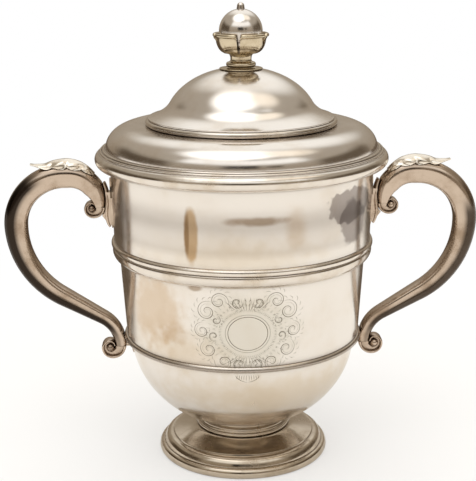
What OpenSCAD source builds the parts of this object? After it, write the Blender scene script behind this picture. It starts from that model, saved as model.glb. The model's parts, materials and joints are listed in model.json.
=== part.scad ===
// Two-handled cup with a lift-off cover, millimetres, +Z up.
// The origin is the middle of the foot's resting face. The handles lie along X.

/* [Cup] */
// Outer radius of the drum at the mouth
mouth_r = 86; // [76:0.5:104]
// How much narrower the drum is just above the girdle
mouth_flare = 1.4; // [0.5:0.1:3]
// How far the drum steps in behind the girdle
girdle_step = 3.3; // [2:0.1:4.5]
// How much the lower drum narrows from the girdle to the hips
drum_taper = 3.4; // [0:0.1:6]
// How far the bowl steps in behind the hip wire
hip_step = 2.9; // [1.8:0.1:3.2]
// Thickness of the raised sheet of the cup
cup_wall = 1.1; // [0.9:0.05:1.6]
// Height of the bowl's lowest point above the table
bowl_lift = 25.5; // [22:0.5:30]
// Depth of the rounded bowl below the hip wire
bowl_depth = 58.5; // [50:0.5:70]
// Height of the drum between the hip wire and the girdle
lower_drum_h = 64.5; // [54:0.5:77.5]
// Height of the drum between the girdle and the mouth
upper_drum_h = 51.5; // [43:0.5:62]

/* [Mouldings] */
// Width of the half-round wires at the girdle and the hips
wire_w = 4.4; // [3:0.1:5.5]
// How far those wires stand out
wire_out = 1.9; // [1.2:0.1:2.4]
// Height of the ovolo band below the girdle wire
band_h = 8.2; // [6:0.1:10]
// How far the ovolo band stands out from the upper drum
band_out = 1.3; // [0.8:0.1:2]
// Height of the strengthening wire at the mouth
lip_h = 1.6; // [1:0.1:2.5]
// How far the strengthening wire stands out
lip_out = 1; // [0.6:0.1:1.6]

/* [Foot] */
// Outer radius of the base ring
foot_r = 57.5; // [48:0.5:69]
// Height of the base ring
foot_rim_h = 6.8; // [5.6:0.1:8]
// Radius of the step in the foot
foot_step_r = 48; // [44:0.5:52]
// Height of the step in the foot above the table
foot_step_z = 12.7; // [11:0.1:14]
// Thickness of the foot's sheet
foot_wall = 1.2; // [0.9:0.1:1.6]
// Outer radius of the collet
collet_r = 30.2; // [26:0.2:36]
// Height of the collet's lower edge above the table
collet_z = 18.1; // [17:0.1:20]
// Thickness of the collet
collet_wall = 2; // [1.6:0.1:2.6]
// Radius of the two fillet wires on the collet
fillet_r = 1.4; // [0.8:0.1:1.8]

/* [Handles] */
// Thickness of the bow in its own plane
bow_t = 16; // [13:0.5:19]
// Thickness of the lower arm where it meets the lower scroll
arm_t = 9; // [7.5:0.5:11]
// Thickness of the bow's cast wall
bow_wall = 1.6; // [1.2:0.1:2.4]
// Distance of the bow's crown out from the drum
crown_out = 31.4; // [29:0.2:36]
// Depth of the bow's crown below the mouth, at mid thickness
crown_drop = 7.2; // [7:0.1:12]
// Radius of the bow's upper turn, before it is fitted to the cup
turn_r = 33; // [30:0.5:36]
// Radius of the bow's outer side, before it is fitted to the cup
side_r = 56.5; // [50:0.5:60]
// Radius of the arm's return bend above the lower scroll
return_r = 22.5; // [20:0.5:26]
// Gap between the lower scroll and the bowl
scroll_gap = 4.5; // [2:0.1:6]
// Thickness of the plates that the handles are soldered to
plate_t = 1.1; // [0.8:0.1:1.6]
// Height of the upper plate
upper_plate_h = 34; // [28:0.5:40]
// Height of the lower plate
lower_plate_h = 12; // [10:0.5:13]
// Thickness of the leaf at its ends; it stands higher in the middle
leaf_t = 1.2; // [1:0.1:1.6]

/* [Cover] */
// How far the cover's rim stands out beyond the drum
rim_overhang = 9.8; // [8:0.2:11]
// Height of the rim band
rim_h = 8.9; // [7.5:0.1:10]
// Thickness of the rim band's moulding
rim_wall = 1.3; // [1:0.1:1.6]
// Thickness of the cover's sheet
cover_wall = 1; // [0.8:0.05:1.4]
// How far the shoulder stands out beyond the drum
shoulder_out = 2.6; // [1.6:0.1:3]
// Height of the shoulder's foot above the mouth
shoulder_z = 11; // [10.6:0.1:12]
// Height of the rounded shoulder
shoulder_h = 14.8; // [12:0.1:17.6]
// Outer radius of the reed round the dome's foot
ridge_r = 62.4; // [56:0.2:64]
// Height of the dome's flared edge above the shoulder
ridge_h = 4.7; // [4:0.1:5.6]
// Radius of the dome at its widest
dome_r = 50; // [46:0.5:50]
// Height of the dome's crown above the shoulder
dome_h = 36.4; // [31:0.1:43.7]
// Depth of the locating ring inside the mouth
bezel_depth = 9; // [7:0.5:11]
// Clearance of the locating ring in the mouth
bezel_gap = 0.6; // [0.4:0.05:0.8]
// Thickness of the locating ring
bezel_wall = 1.2; // [0.8:0.1:1.6]
// Gap between the cover's rim and the mouth's edge
seat_gap = 0.1; // [0.05:0.05:0.2]

/* [Finial] */
// Radius of the flange on the dome
flange_r = 14; // [13:0.2:16]
// Radius of the neck at its narrowest
neck_r = 6.8; // [6:0.1:8.2]
// Height of the neck with its foot
neck_h = 8.5; // [7.5:0.1:10]
// Radius of the ball
ball_r = 14; // [13:0.2:14.6]
// Thickness of the ball's two half shells
ball_wall = 1.2; // [0.8:0.1:1.6]
// Number of petals round the ball
petal_count = 5; // [4:1:6]
// Gap between neighbouring petals, in degrees
petal_gap = 7; // [4:1:10]
// Radius of the button on top
pip_r = 2.6; // [2:0.1:3.2]
// Height of the button on top
pip_h = 4; // [3.2:0.1:4.8]
// Radius of the stud that holds the finial
stud_r = 2; // [1.6:0.1:2.4]
// Clearance round the stud
stud_gap = 0.1; // [0.05:0.05:0.2]
// Thickness of the washer
washer_t = 1; // [0.8:0.1:1.4]
// Height of the nut
nut_h = 3.2; // [2.6:0.1:4]

/* [Hidden] */
// Heights and radii worked out from the sizes above
drum_r = mouth_r - mouth_flare;
waist_r = drum_r - girdle_step;
hip_r = waist_r - drum_taper;
bowl_r = hip_r - hip_step;
bowl_b = 1.094 * bowl_depth;
hip_z = bowl_lift + bowl_depth;
girdle_z = hip_z + lower_drum_h;
mouth_z = girdle_z + upper_drum_h;
band_z = girdle_z - wire_w / 2 - band_h;
rim_r = mouth_r + rim_overhang;
bezel_r = mouth_r - cup_wall - bezel_gap;
shoulder_r = mouth_r + shoulder_out;
cover_z = mouth_z + seat_gap;
shelf_z = shoulder_z + shoulder_h;
crown_z = shelf_z + dome_h;
finial_z = cover_z + crown_z;
ball_z = neck_h + 0.5 + ball_r;
bore_r = stud_r + stud_gap;
// Width of the flat shelf between the rounded shoulder and the ridge
shoulder_w = 17.2;
// Width of the flange between the shoulder and the rim band, and its fall
reed_w = 4.4;
reed_fall = 2.2;
// Facets of turned pieces
turned = 120;
// Hair's breadth between touching faces of soldered pieces
hair = 0.03;

// ---------------------------------------------------------------- curves

// Points on an ellipse with half sizes a and b, angles in degrees from +X
function oval(cx, cz, a, b, from, to, n) =
    [for (i = [0:n]) let (w = from + (to - from) * i / n) [cx + a * cos(w), cz + b * sin(w)]];

// Points on a quadratic curve from p to r that leans towards q
function bend(p, q, r, n) =
    [for (i = [0:n]) let (u = i / n) (1 - u) * (1 - u) * p + 2 * u * (1 - u) * q + u * u * r];

// The same points in the other order
function backwards(list) = [for (i = [len(list) - 1:-1:0]) list[i]];

// Value that runs evenly from a to b as u runs from 0 to 1
function mix(a, b, u) = a + (b - a) * u;

// The bowl is an oval that turns into a flatter bottom at this angle below level
bowl_turn = 54;
bowl_side = [bowl_r * cos(bowl_turn), hip_z - bowl_b * sin(bowl_turn)];
bowl_lean = bowl_side[0] - (bowl_side[1] - bowl_lift) * tan(bowl_turn) * bowl_r / bowl_b;

// Radius of the bowl's outer face at height z, on the oval
function bowl_face_r(z) = bowl_r * sqrt(1 - pow((hip_z - z) / bowl_b, 2));

// Height of the bowl's outer face at radius r, on the flatter bottom
function bowl_face_z(r) = let (
        lean = bowl_side[0] - bowl_lean,
        rest = bowl_side[0] - 2 * bowl_lean,
        u = (lean - sqrt(lean * lean - rest * (bowl_side[0] - r))) / rest)
    bowl_lift + (bowl_side[1] - bowl_lift) * (1 - u) * (1 - u);

// Outer radius of the drum at height z, above the girdle and below it
function drum_face_r(z) = mix(drum_r, mouth_r, (z - girdle_z + wire_w / 2) / (upper_drum_h + wire_w / 2));
function hip_face_r(z) = mix(hip_r, waist_r, (z - hip_z - hip_step / 2) / (band_z + 1 - hip_z - hip_step / 2));

// Height of the dome's outer face above the mouth at radius r
function dome_face_z(r) = crown_z - dome_b + dome_b * sqrt(1 - pow(r / dome_r, 2));

// Section of the cup from the middle of the bowl to the mouth, inset by k
function cup_curve(k) = concat(
    bend([0, bowl_lift + k], [bowl_lean, bowl_lift + k],
         [(bowl_r - k) * cos(bowl_turn), hip_z - (bowl_b - k) * sin(bowl_turn)], 10),
    oval(0, hip_z, bowl_r - k, bowl_b - k, 2.7 - bowl_turn, 0, 19),
    [[hip_r - k, hip_z + hip_step / 2],
     [waist_r - k, band_z + 1],
     [drum_r - k, girdle_z - wire_w / 2],
     [mouth_r - k, mouth_z]]);

// ---------------------------------------------------------------- cup

module turn(points, facets = turned) {
    rotate_extrude($fn = facets) polygon(points);
}

module silver() {
    color([0.86, 0.82, 0.76]) children();
}

module cup_body() {
    silver() turn(concat(cup_curve(0), backwards(cup_curve(cup_wall))));
}

// Half-round wire on a wall of radius r, centred at height z
module half_round(r, z, w, out) {
    silver() turn(oval(r + hair, z, out, w / 2, -90, 90, 12));
}

module lip_wire() {
    half_round(mouth_r, mouth_z - lip_h / 2, lip_h, lip_out);
}

module upper_girdle_reed() {
    half_round(drum_face_r(girdle_z + wire_w / 2), girdle_z, wire_w, wire_out);
}

// The band covers the step in the drum and rounds in under itself
module upper_girdle_band() {
    top = girdle_z - wire_w / 2;
    silver() turn(concat(
        [[waist_r + hair, band_z]],
        [[waist_r + 0.9, band_z]],
        bend([waist_r + 0.9, band_z], [drum_r + band_out, band_z + band_h * 0.32],
             [drum_r + band_out, band_z + band_h * 0.72], 8),
        bend([drum_r + band_out, band_z + band_h * 0.72], [drum_r + band_out, top - 0.4],
             [drum_r + 0.5, top - 0.1], 4),
        [[drum_r + hair, top - 0.1]],
        [[waist_r + hair, band_z + 1]]));
}

module lower_girdle_wire() {
    top = hip_z + wire_w / 2;
    silver() turn(concat(
        [[bowl_r + hair, hip_z - wire_w / 2]],
        oval(bowl_r + 0.8, hip_z, hip_step + wire_out - 0.8, wire_w / 2, -90, 0, 8),
        oval(hip_face_r(top), hip_z, hip_r + wire_out - hip_face_r(top), wire_w / 2, 10, 80, 7),
        [[hip_face_r(top) + hair, top],
         [hip_r + hair, hip_z + hip_step / 2],
         [bowl_r + hair, hip_z]]));
}

// ---------------------------------------------------------------- foot

// The collet's outer face is hollowed a little between its two wires
module foot_collet() {
    inner = collet_r - collet_wall;
    top = bowl_face_z(collet_r) - hair;
    bead = 2 * fillet_r + 0.2;
    silver() turn(concat(
        [[inner, collet_z], [collet_r, collet_z]],
        bend([collet_r, collet_z + bead], [collet_r - 1.8, (collet_z + top) / 2],
             [collet_r, top - bead], 8),
        [[collet_r, top],
         [mix(inner, collet_r, 0.5), bowl_face_z(mix(inner, collet_r, 0.5)) - 2 * hair],
         [inner, bowl_face_z(inner) - hair]]));
}

module collet_top_wire() {
    half_round(collet_r, bowl_face_z(collet_r) - fillet_r - hair, 2 * fillet_r, fillet_r);
}

module collet_bottom_wire() {
    half_round(collet_r, collet_z + fillet_r + hair, 2 * fillet_r, fillet_r);
}

// Section of the foot from the base ring up to the collet, inset by k
function foot_curve(k) = concat(
    bend([foot_r - 3.2 - k, foot_rim_h], [foot_r - 4.4 - k, foot_step_z - 0.2 - k],
         [foot_step_r + 1.2 - k / 2, foot_step_z - 0.2 - k], 8),
    [[foot_step_r - k / 2, foot_step_z - 0.2 - k]],
    [[foot_step_r - 0.3 - k / 2, foot_step_z + 0.8 - k]],
    bend([foot_step_r - 0.3 - k / 2, foot_step_z + 0.8 - k],
         [collet_r + fillet_r + 2 - k / 2, foot_step_z + 3.4 - k],
         [collet_r + fillet_r + 0.6 - k / 3, collet_z - k], 8),
    [[collet_r - collet_wall, collet_z - hair - k]]);

module foot_dome() {
    silver() turn(concat(foot_curve(0), backwards(foot_curve(foot_wall))));
}

// The ring is widest below its middle
module foot_rim() {
    wall = foot_r - 3.2 - foot_wall;
    low = 0.4 * foot_rim_h;
    silver() turn(concat(
        [[wall - 1.6, 0], [foot_r - 2.2, 0]],
        oval(foot_r - 2.2, low, 2.2, low - 0.1, -80, 0, 6),
        oval(foot_r - 2.2, low, 2.2, foot_rim_h - low - 0.2, 12, 84, 6),
        [[foot_r - 3.2, foot_rim_h - hair],
         [wall, foot_rim_h - hair],
         [wall, 1.4],
         [wall - 1.6, 1.4]]));
}

// ---------------------------------------------------------------- handles

// A handle is drawn in its own plane, x outwards and z up, as a walk of arcs.
// A leg is [radius or length, turn in degrees, steps, thickness at its end].
function along(p, a, leg, u) = leg[1] == 0
    ? p + leg[0] * u * [cos(a), sin(a)]
    : let (s = sign(leg[1]) * leg[0], b = a + leg[1] * u)
        p + s * [-sin(a), cos(a)] - s * [-sin(b), cos(b)];

// Stations of a walk: [point, heading, thickness]
function walk(legs, p, a, t, i = 0) = i == len(legs) ? [] : concat(
    [for (k = [1:legs[i][2]]) let (u = k / legs[i][2])
        [along(p, a, legs[i], u), a + legs[i][1] * u, mix(t, legs[i][3], u)]],
    walk(legs, along(p, a, legs[i], 1), a + legs[i][1], legs[i][3], i + 1));

// Key points of the handle
lower_z = hip_z - wire_w / 2 - lower_plate_h / 2 - 0.3;
crown = [drum_r + crown_out, mouth_z - crown_drop];
scroll_t = arm_t - 0.8;
lower_start = [bowl_face_r(lower_z) + scroll_gap + scroll_t / 2, lower_z];

// The bow's two radii are fitted, by one factor and the arm's length, between crown and bowl
reach = crown - lower_start - return_r * [1 - cos(60), sin(60)];
bow_x = turn_r - side_r * (1 - cos(60));
bow_y = turn_r + side_r * sin(60);
bow_k = (reach[1] - reach[0] * tan(30)) / (bow_y + bow_x * tan(30));
arm_l = (reach[0] + bow_x * bow_k) / cos(30);

// Walk from the crown outwards and down to the lower scroll
function outer_walk() = walk(
    [[turn_r * bow_k, -90, 16, bow_t - 0.4],
     [side_r * bow_k, -60, 9, bow_t * 0.79],
     [arm_l, 0, 3, mix(arm_t, bow_t, 0.06)],
     [return_r, 60, 7, scroll_t]],
    crown, 0, bow_t);

// Walk from the crown inwards and down to the upper scroll
neck_legs = [[2.5, 0, 1, bow_t], [19.5, 55, 7, bow_t * 0.87], [22, 35, 5, 7.4]];
function inner_walk() = walk(neck_legs, crown, 180, bow_t);
function inner_stations() = [for (s = inner_walk()) [s[0], s[1] - 180, s[2]]];
upper_start = inner_walk()[len(inner_walk()) - 1];

bow_stations = concat(backwards(inner_stations()), [[crown, 0, bow_t]], outer_walk());

// Width of the handle across its plane where it is t thick
function handle_w(t) = 7.2 + 0.45 * t;

// A ring of points round a station, like a rounded oblong, shrunk by k
sides = 16;
function soft(v, power) = sign(v) * pow(abs(v), power);
function ring(station, k) = let (
        p = station[0],
        up = [-sin(station[1]), cos(station[1])],
        a = station[2] / 2 - k,
        b = handle_w(station[2]) / 2 - k)
    [for (j = [0:sides - 1]) let (w = 360 * (j + 0.5) / sides,
            q = p + up * a * soft(cos(w), 0.78))
        [q[0], b * soft(sin(w), 0.78), q[1]]];

// Closed skin over rings of m points each
module skin(rings, m) {
    n = len(rings);
    faces = concat(
        [[for (j = [m - 1:-1:0]) j]],
        [for (i = [0:n - 2], j = [0:m - 1]) let (l = (j + 1) % m)
            [i * m + j, i * m + l, (i + 1) * m + l, (i + 1) * m + j]],
        [[for (j = [0:m - 1]) (n - 1) * m + j]]);
    polyhedron([for (r = rings) each r], faces);
}

module sweep(stations, k = 0) {
    skin([for (s = stations) ring(s, k)], sides);
}

// Puts a handle piece on its side of the cup: 1 is right, -1 is left
module on_side(side) {
    silver() if (side > 0) children();
    else mirror([1, 0, 0]) children();
}

module handle_bow() {
    n = len(bow_stations);
    first = bow_stations[0];
    last = bow_stations[n - 1];
    difference() {
        sweep(bow_stations);
        sweep(concat([[first[0] - [0, 2], first[1], first[2]]], bow_stations,
                     [[last[0] - [0, 2], last[1], last[2]]]), bow_wall);
    }
}

// A rolled scroll end that carries on from a station, with a raised eye at its middle
module volute(start, radii) {
    t = start[2];
    coil = walk(
        [[radii[0], 90, 7, t * 0.8],
         [radii[1], 90, 7, t * 0.66],
         [radii[2], 80, 6, t * 0.5]],
        start[0], start[1], t);
    last = coil[len(coil) - 1];
    eye = last[0] + radii[2] * [-sin(last[1]), cos(last[1])];
    w = handle_w(t);
    difference() {
        union() {
            sweep(concat([start], coil));
            translate([eye[0], 0, eye[1]]) rotate([90, 0, 0])
                cylinder(r = radii[1] * 0.8, h = w * 0.7, center = true, $fn = 72);
            for (s = [-1, 1])
                translate([eye[0], s * w * 0.34, eye[1]]) sphere(r = radii[2] * 0.86, $fn = 72);
        }
        // Room for the end of the bow, which stands on this scroll
        translate([start[0][0] - t, -w, start[0][1]]) cube([1.5 * t + 0.4, 2 * w, t]);
    }
}

module upper_volute() {
    volute([upper_start[0] + [0, -hair], upper_start[1], upper_start[2]], [4.4, 3.5, 2.6]);
}

module lower_volute() {
    last = bow_stations[len(bow_stations) - 1];
    volute([last[0] + [0, -hair], last[1], last[2]], [5.6, 4.4, 3.2]);
}

// The leaf lies on the bow's back from over the neck to past the crown, then lifts at its tip
leaf_from = 7;
leaf_to = 18;
leaf_points = 9;
function leaf_spread(u) = 62 * pow(sin(180 * mix(0.16, 0.94, u)), 0.6) * (0.9 + 0.1 * abs(cos(540 * u)));
function leaf_lift(u) = 5.2 * pow(max(0, (u - 0.8) / 0.2), 1.4);
function leaf_depth(u) = leaf_t * mix(1, 3.2, sin(180 * u));
function leaf_ring(station, u) = let (
        p = station[0],
        up = [-sin(station[1]), cos(station[1])],
        a = station[2] / 2 + hair + leaf_lift(u),
        b = handle_w(station[2]) / 2 + hair,
        half = leaf_spread(u),
        m = leaf_points - 1,
        at = function (w, k) let (q = p + up * (a + k) * soft(cos(w), 0.78))
            [q[0], (b + k) * soft(sin(w), 0.78), q[1]])
    concat(
        [for (j = [0:m]) at(mix(-half, half, j / m), 0)],
        [for (j = [m:-1:0]) at(mix(-half, half, j / m), leaf_depth(u) * (1 - 0.6 * pow(2 * j / m - 1, 2)))]);

module thumb_leaf() {
    n = leaf_to - leaf_from;
    skin([for (i = [0:n]) leaf_ring(bow_stations[leaf_from + i], i / n)], 2 * leaf_points);
}

// Oval prism that points along X at height z
module oval_along_x(z, w, h) {
    translate([0, 0, z]) rotate([90, 0, 90])
        linear_extrude(height = 2 * mouth_r) polygon(oval(0, 0, w / 2, h / 2, 0, 345, 23));
}

upper_plate_z = mouth_z - crown_drop - 18.8;

module upper_plate() {
    low = upper_plate_z - upper_plate_h / 2 - 1;
    high = upper_plate_z + upper_plate_h / 2 + 1;
    intersection() {
        turn([[drum_face_r(low) + hair, low],
              [drum_face_r(low) + plate_t, low],
              [drum_face_r(high) + plate_t, high],
              [drum_face_r(high) + hair, high]]);
        oval_along_x(upper_plate_z, 13, upper_plate_h);
    }
}

module lower_plate() {
    low = lower_z - lower_plate_h / 2 - 0.2;
    high = lower_z + lower_plate_h / 2 + 0.2;
    wall = [for (i = [0:8]) let (z = mix(low, high, i / 8)) [bowl_face_r(z), z]];
    intersection() {
        turn(concat([for (p = wall) p + [hair, 0]],
                    backwards([for (p = wall) p + [plate_t, 0]])));
        oval_along_x(lower_z, 10, lower_plate_h);
    }
}

// The stub bridges the lower plate and the scroll
module lower_stub() {
    from = bowl_face_r(lower_z) + plate_t;
    to = lower_start[0] - scroll_t / 2;
    difference() {
        translate([from - 1, 0, lower_z + 1.2]) rotate([0, 90, 0])
            cylinder(r = 2.6, h = to - from + 1 - hair, $fn = 72);
        turn(facets = 360, points = [[from - 6, lower_z - 6],
              [bowl_face_r(lower_z - 6) + plate_t + hair, lower_z - 6],
              [bowl_face_r(lower_z - 3) + plate_t + hair, lower_z - 3],
              [bowl_face_r(lower_z) + plate_t + hair, lower_z],
              [bowl_face_r(lower_z + 3) + plate_t + hair, lower_z + 3],
              [bowl_face_r(lower_z + 6) + plate_t + hair, lower_z + 6],
              [from - 6, lower_z + 6]]);
    }
}

// The spur fills the wedge between the upper plate and the neck of the scroll
module upper_spur() {
    edge = [for (s = backwards(inner_walk())) if (s[0][1] < upper_start[0][1] + 10)
        s[0] - (s[2] / 2 + 0.15) * [-sin(s[1]), cos(s[1])]];
    foot = upper_start[0] + [4.4, 0];
    low = oval(foot[0], foot[1], 4.4 + 3.85, 4.4 + 3.65, 225, 190, 4);
    top = edge[len(edge) - 1];
    difference() {
        translate([0, 4, 0]) rotate([90, 0, 0]) linear_extrude(height = 8) polygon(concat(
            [[mouth_r - 6, upper_plate_z - upper_plate_h / 2 + 3]],
            [[drum_face_r(foot[1] - 12) + plate_t + 1, foot[1] - 12.4]],
            low, edge,
            [[mouth_r - 6, top[1]]]));
        turn(facets = 360, points = [[0, girdle_z],
              [drum_face_r(girdle_z) + plate_t + hair, girdle_z],
              [drum_face_r(mouth_z) + plate_t + hair, mouth_z],
              [0, mouth_z]]);
    }
}

module left_handle_bow() { on_side(-1) handle_bow(); }
module left_upper_volute() { on_side(-1) upper_volute(); }
module left_lower_volute() { on_side(-1) lower_volute(); }
module left_thumb_leaf() { on_side(-1) thumb_leaf(); }
module left_upper_spur() { on_side(-1) upper_spur(); }
module left_upper_plate() { on_side(-1) upper_plate(); }
module left_lower_stub() { on_side(-1) lower_stub(); }
module left_lower_plate() { on_side(-1) lower_plate(); }
module right_handle_bow() { on_side(1) handle_bow(); }
module right_upper_volute() { on_side(1) upper_volute(); }
module right_lower_volute() { on_side(1) lower_volute(); }
module right_thumb_leaf() { on_side(1) thumb_leaf(); }
module right_upper_spur() { on_side(1) upper_spur(); }
module right_upper_plate() { on_side(1) upper_plate(); }
module right_lower_stub() { on_side(1) lower_stub(); }
module right_lower_plate() { on_side(1) lower_plate(); }

// ---------------------------------------------------------------- cover

// Half height of the dome's oval section, and where the dome turns into its flare
dome_b = dome_h - 0.6;
dome_turn = 68;
ridge_inner = ridge_r - 3;

// Outer edge of the flare on the outside of the sheet, and its end on the inside
function flare_end(k) = k == 0
    ? [ridge_r - 1.8, shelf_z + ridge_h]
    : [ridge_inner - k, shelf_z + ridge_h - 0.4 * k];

// Section of the cover's sheet from the crown to the rim, inset by k
function cover_curve(k) = concat(
    [[bore_r, dome_face_z(bore_r) - k]],
    [for (i = [1:16]) let (w = dome_turn * i / 16)
        [(dome_r - k) * sin(w), crown_z - dome_b + (dome_b - k) * cos(w)]],
    [for (i = [1:10]) bend(
        [(dome_r - k) * sin(dome_turn), crown_z - dome_b + (dome_b - k) * cos(dome_turn)],
        [dome_r + 0.3 - 0.65 * k, shelf_z + 7.6 - 0.86 * k], flare_end(k), 10)[i]],
    k == 0 ? [[ridge_r - 1.8, shelf_z + ridge_h - cover_wall],
              [ridge_inner, shelf_z + ridge_h - cover_wall]] : [],
    [[ridge_inner - k, shelf_z - k]],
    oval(shoulder_r - shoulder_w, shoulder_z, shoulder_w - k, shoulder_h - k, 90, 0, 16),
    [[shoulder_r + reed_w, shoulder_z - reed_fall - k]]);

module on_mouth() {
    silver() translate([0, 0, cover_z]) children();
}

module cover_shell() {
    on_mouth() turn(concat(cover_curve(0), backwards(cover_curve(cover_wall))));
}

// Half-round reed in the corner under the flare
module cover_ridge() {
    half = (ridge_h - cover_wall) / 2 - hair;
    on_mouth() turn(concat(
        [[ridge_inner + hair, shelf_z + hair]],
        oval(ridge_r - 1.6, shelf_z + hair + half, 1.6, half, -90, 90, 12),
        [[ridge_inner + hair, shelf_z + hair + 2 * half]]));
}

module cover_reeds() {
    fall = atan(reed_fall / reed_w);
    on_mouth() for (u = [0.3, 0.7])
        turn(oval(shoulder_r + reed_w * u, shoulder_z - reed_fall * u + hair, 0.85, 0.85,
                  -fall, 180 - fall, 10));
}

module cover_rim() {
    seam = shoulder_r + reed_w;
    under = shoulder_z - reed_fall - cover_wall;
    roof = under - hair - rim_wall;
    on_mouth() turn(concat(
        [[bezel_r + hair, 0]],
        oval(rim_r - 4.2, rim_h / 2, 4.2, rim_h / 2, -90, 70, 18),
        [[seam + hair, under - hair],
         [seam - 1.8, under - hair],
         [seam - 1.8, roof]],
        oval(rim_r - 4.2, (roof + rim_wall) / 2, 4.2 - rim_wall, (roof - rim_wall) / 2, 90, -90, 12),
        [[bezel_r + hair, rim_wall]]));
}

module cover_bezel() {
    on_mouth() turn([
        [bezel_r - bezel_wall, -bezel_depth],
        [bezel_r - 0.4, -bezel_depth],
        [bezel_r, -bezel_depth + 0.8],
        [bezel_r, rim_wall],
        [bezel_r - bezel_wall, rim_wall]]);
}

// ---------------------------------------------------------------- finial

module on_crown() {
    silver() translate([0, 0, finial_z]) children();
}

// Height of the dome's outer face against the crown at radius r
function crown_fall(r) = dome_face_z(r) - crown_z + hair;

// Height of the flange's flat top, which the neck stands on
flange_top = 0.5;

module finial_flange() {
    edge = crown_fall(flange_r);
    on_crown() turn(concat(
        [[bore_r, crown_fall(bore_r)]],
        [for (i = [1:6]) let (r = (flange_r - 0.6) * i / 6) [r, crown_fall(r)]],
        oval(flange_r - 0.6, edge + 0.6, 0.6, 0.5, -60, 90, 6),
        bend([flange_r - 1.6, edge + 1.2], [neck_r + 3.2, flange_top - 0.5],
             [neck_r + 2.9, flange_top], 4),
        [[bore_r, flange_top]]));
}

module finial_neck() {
    low = flange_top + hair;
    on_crown() turn(concat(
        [[bore_r, low]],
        oval(neck_r + 1.7, low + 1.4, 1.1, 1.4, -90, 90, 8),
        bend([neck_r + 1.2, low + 3], [neck_r, low + 3.4], [neck_r, low + 4.6], 5),
        bend([neck_r, low + 5], [neck_r, neck_h - 0.9], [neck_r + 1.2, neck_h], 5),
        [[bore_r, neck_h]]));
}

// Dish under the petals, shaped to the ball
cup_rim = [11.6, neck_h + 1];
module finial_cup() {
    nest = [for (r = [9.4:-1.175:-0.1]) [max(r, 0), ball_z - sqrt(pow(ball_r + hair, 2) - r * r)]];
    on_crown() turn(concat(
        [[0, neck_h + hair], [neck_r + 1.3, neck_h + hair]],
        [cup_rim - [0.6, 0.4], cup_rim, [11.1, neck_h + 2.2]],
        nest));
}

// One ring of leaves, each a slice of the same turned section with a rolled rim
module finial_petals() {
    step = 360 / petal_count;
    z = neck_h;
    section = concat(
        bend([11.75, z + 0.95], [15.6, z + 3], [16.4, z + 10.2], 8),
        oval(16.9, z + 12.1, 1.25, 1.25, -100, 150, 10),
        bend([15.1, z + 11.2], [14.2, z + 4.6], [11.25, z + 2.3], 8));
    on_crown() for (i = [0:petal_count - 1])
        rotate([0, 0, -98 + i * step + petal_gap / 2])
            rotate_extrude(angle = step - petal_gap, $fn = turned) polygon(section);
}

module half_ball(from, to) {
    on_crown() turn(concat(
        oval(0, ball_z, ball_r, ball_r, from, to, 18),
        oval(0, ball_z, ball_r - ball_wall, ball_r - ball_wall, to, from, 18)));
}

module finial_ball_lower() { half_ball(-90, 0); }
module finial_ball_upper() { half_ball(0, 90); }

module finial_pip() {
    low = ball_z + sqrt(ball_r * ball_r - pip_r * pip_r) + hair;
    top = ball_z + ball_r + pip_h;
    on_crown() turn(concat(
        [[0, ball_z + ball_r + hair], [pip_r * 0.5, ball_z + ball_r - 0.03], [pip_r, low]],
        [[pip_r * 0.98, low + 0.6]],
        oval(0, top - pip_r * 0.9, pip_r * 0.9, pip_r * 0.9, 0, 90, 8)));
}

module finial_stud() {
    on_crown() translate([0, 0, -nut_h - washer_t - 3.4])
        cylinder(r = stud_r, h = nut_h + washer_t + 3.4 + neck_h - hair, $fn = 48);
}

// The washer bears on the inside of the dome at its own rim
washer_r = 6;
washer_z = dome_face_z(washer_r) - crown_z - cover_wall - 0.1;

module finial_washer() {
    on_crown() translate([0, 0, washer_z - washer_t]) difference() {
        cylinder(r = washer_r, h = washer_t, $fn = 48);
        translate([0, 0, -1]) cylinder(r = bore_r, h = washer_t + 2, $fn = 48);
    }
}

module finial_nut() {
    on_crown() translate([0, 0, washer_z - washer_t - nut_h]) difference() {
        cylinder(r = 2.3 * stud_r, h = nut_h - hair, $fn = 6);
        translate([0, 0, -1]) cylinder(r = stud_r + 0.04, h = nut_h + 2, $fn = 48);
    }
}

// ---------------------------------------------------------------- nodes

cup_body();
lip_wire();
upper_girdle_reed();
upper_girdle_band();
lower_girdle_wire();
foot_collet();
collet_top_wire();
collet_bottom_wire();
foot_dome();
foot_rim();
left_handle_bow();
left_upper_volute();
left_lower_volute();
left_thumb_leaf();
left_upper_spur();
left_upper_plate();
left_lower_stub();
left_lower_plate();
right_handle_bow();
right_upper_volute();
right_lower_volute();
right_thumb_leaf();
right_upper_spur();
right_upper_plate();
right_lower_stub();
right_lower_plate();
cover_shell();
cover_ridge();
cover_reeds();
cover_rim();
cover_bezel();
finial_flange();
finial_neck();
finial_cup();
finial_petals();
finial_ball_lower();
finial_ball_upper();
finial_pip();
finial_stud();
finial_washer();
finial_nut();
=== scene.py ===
"""Looks of a silver two-handled cup with a lift-off cover, built around its fixed frame.

Sizes are in millimetres, as a silversmith writes them, and become metres when a mesh is made.
"""

import json
import logging
import math
from collections.abc import Callable, Sequence
from dataclasses import dataclass, field
from enum import Enum

import bmesh
import bpy
import numpy as np
from mathutils import Matrix, Vector
from mathutils.bvhtree import BVHTree

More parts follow.
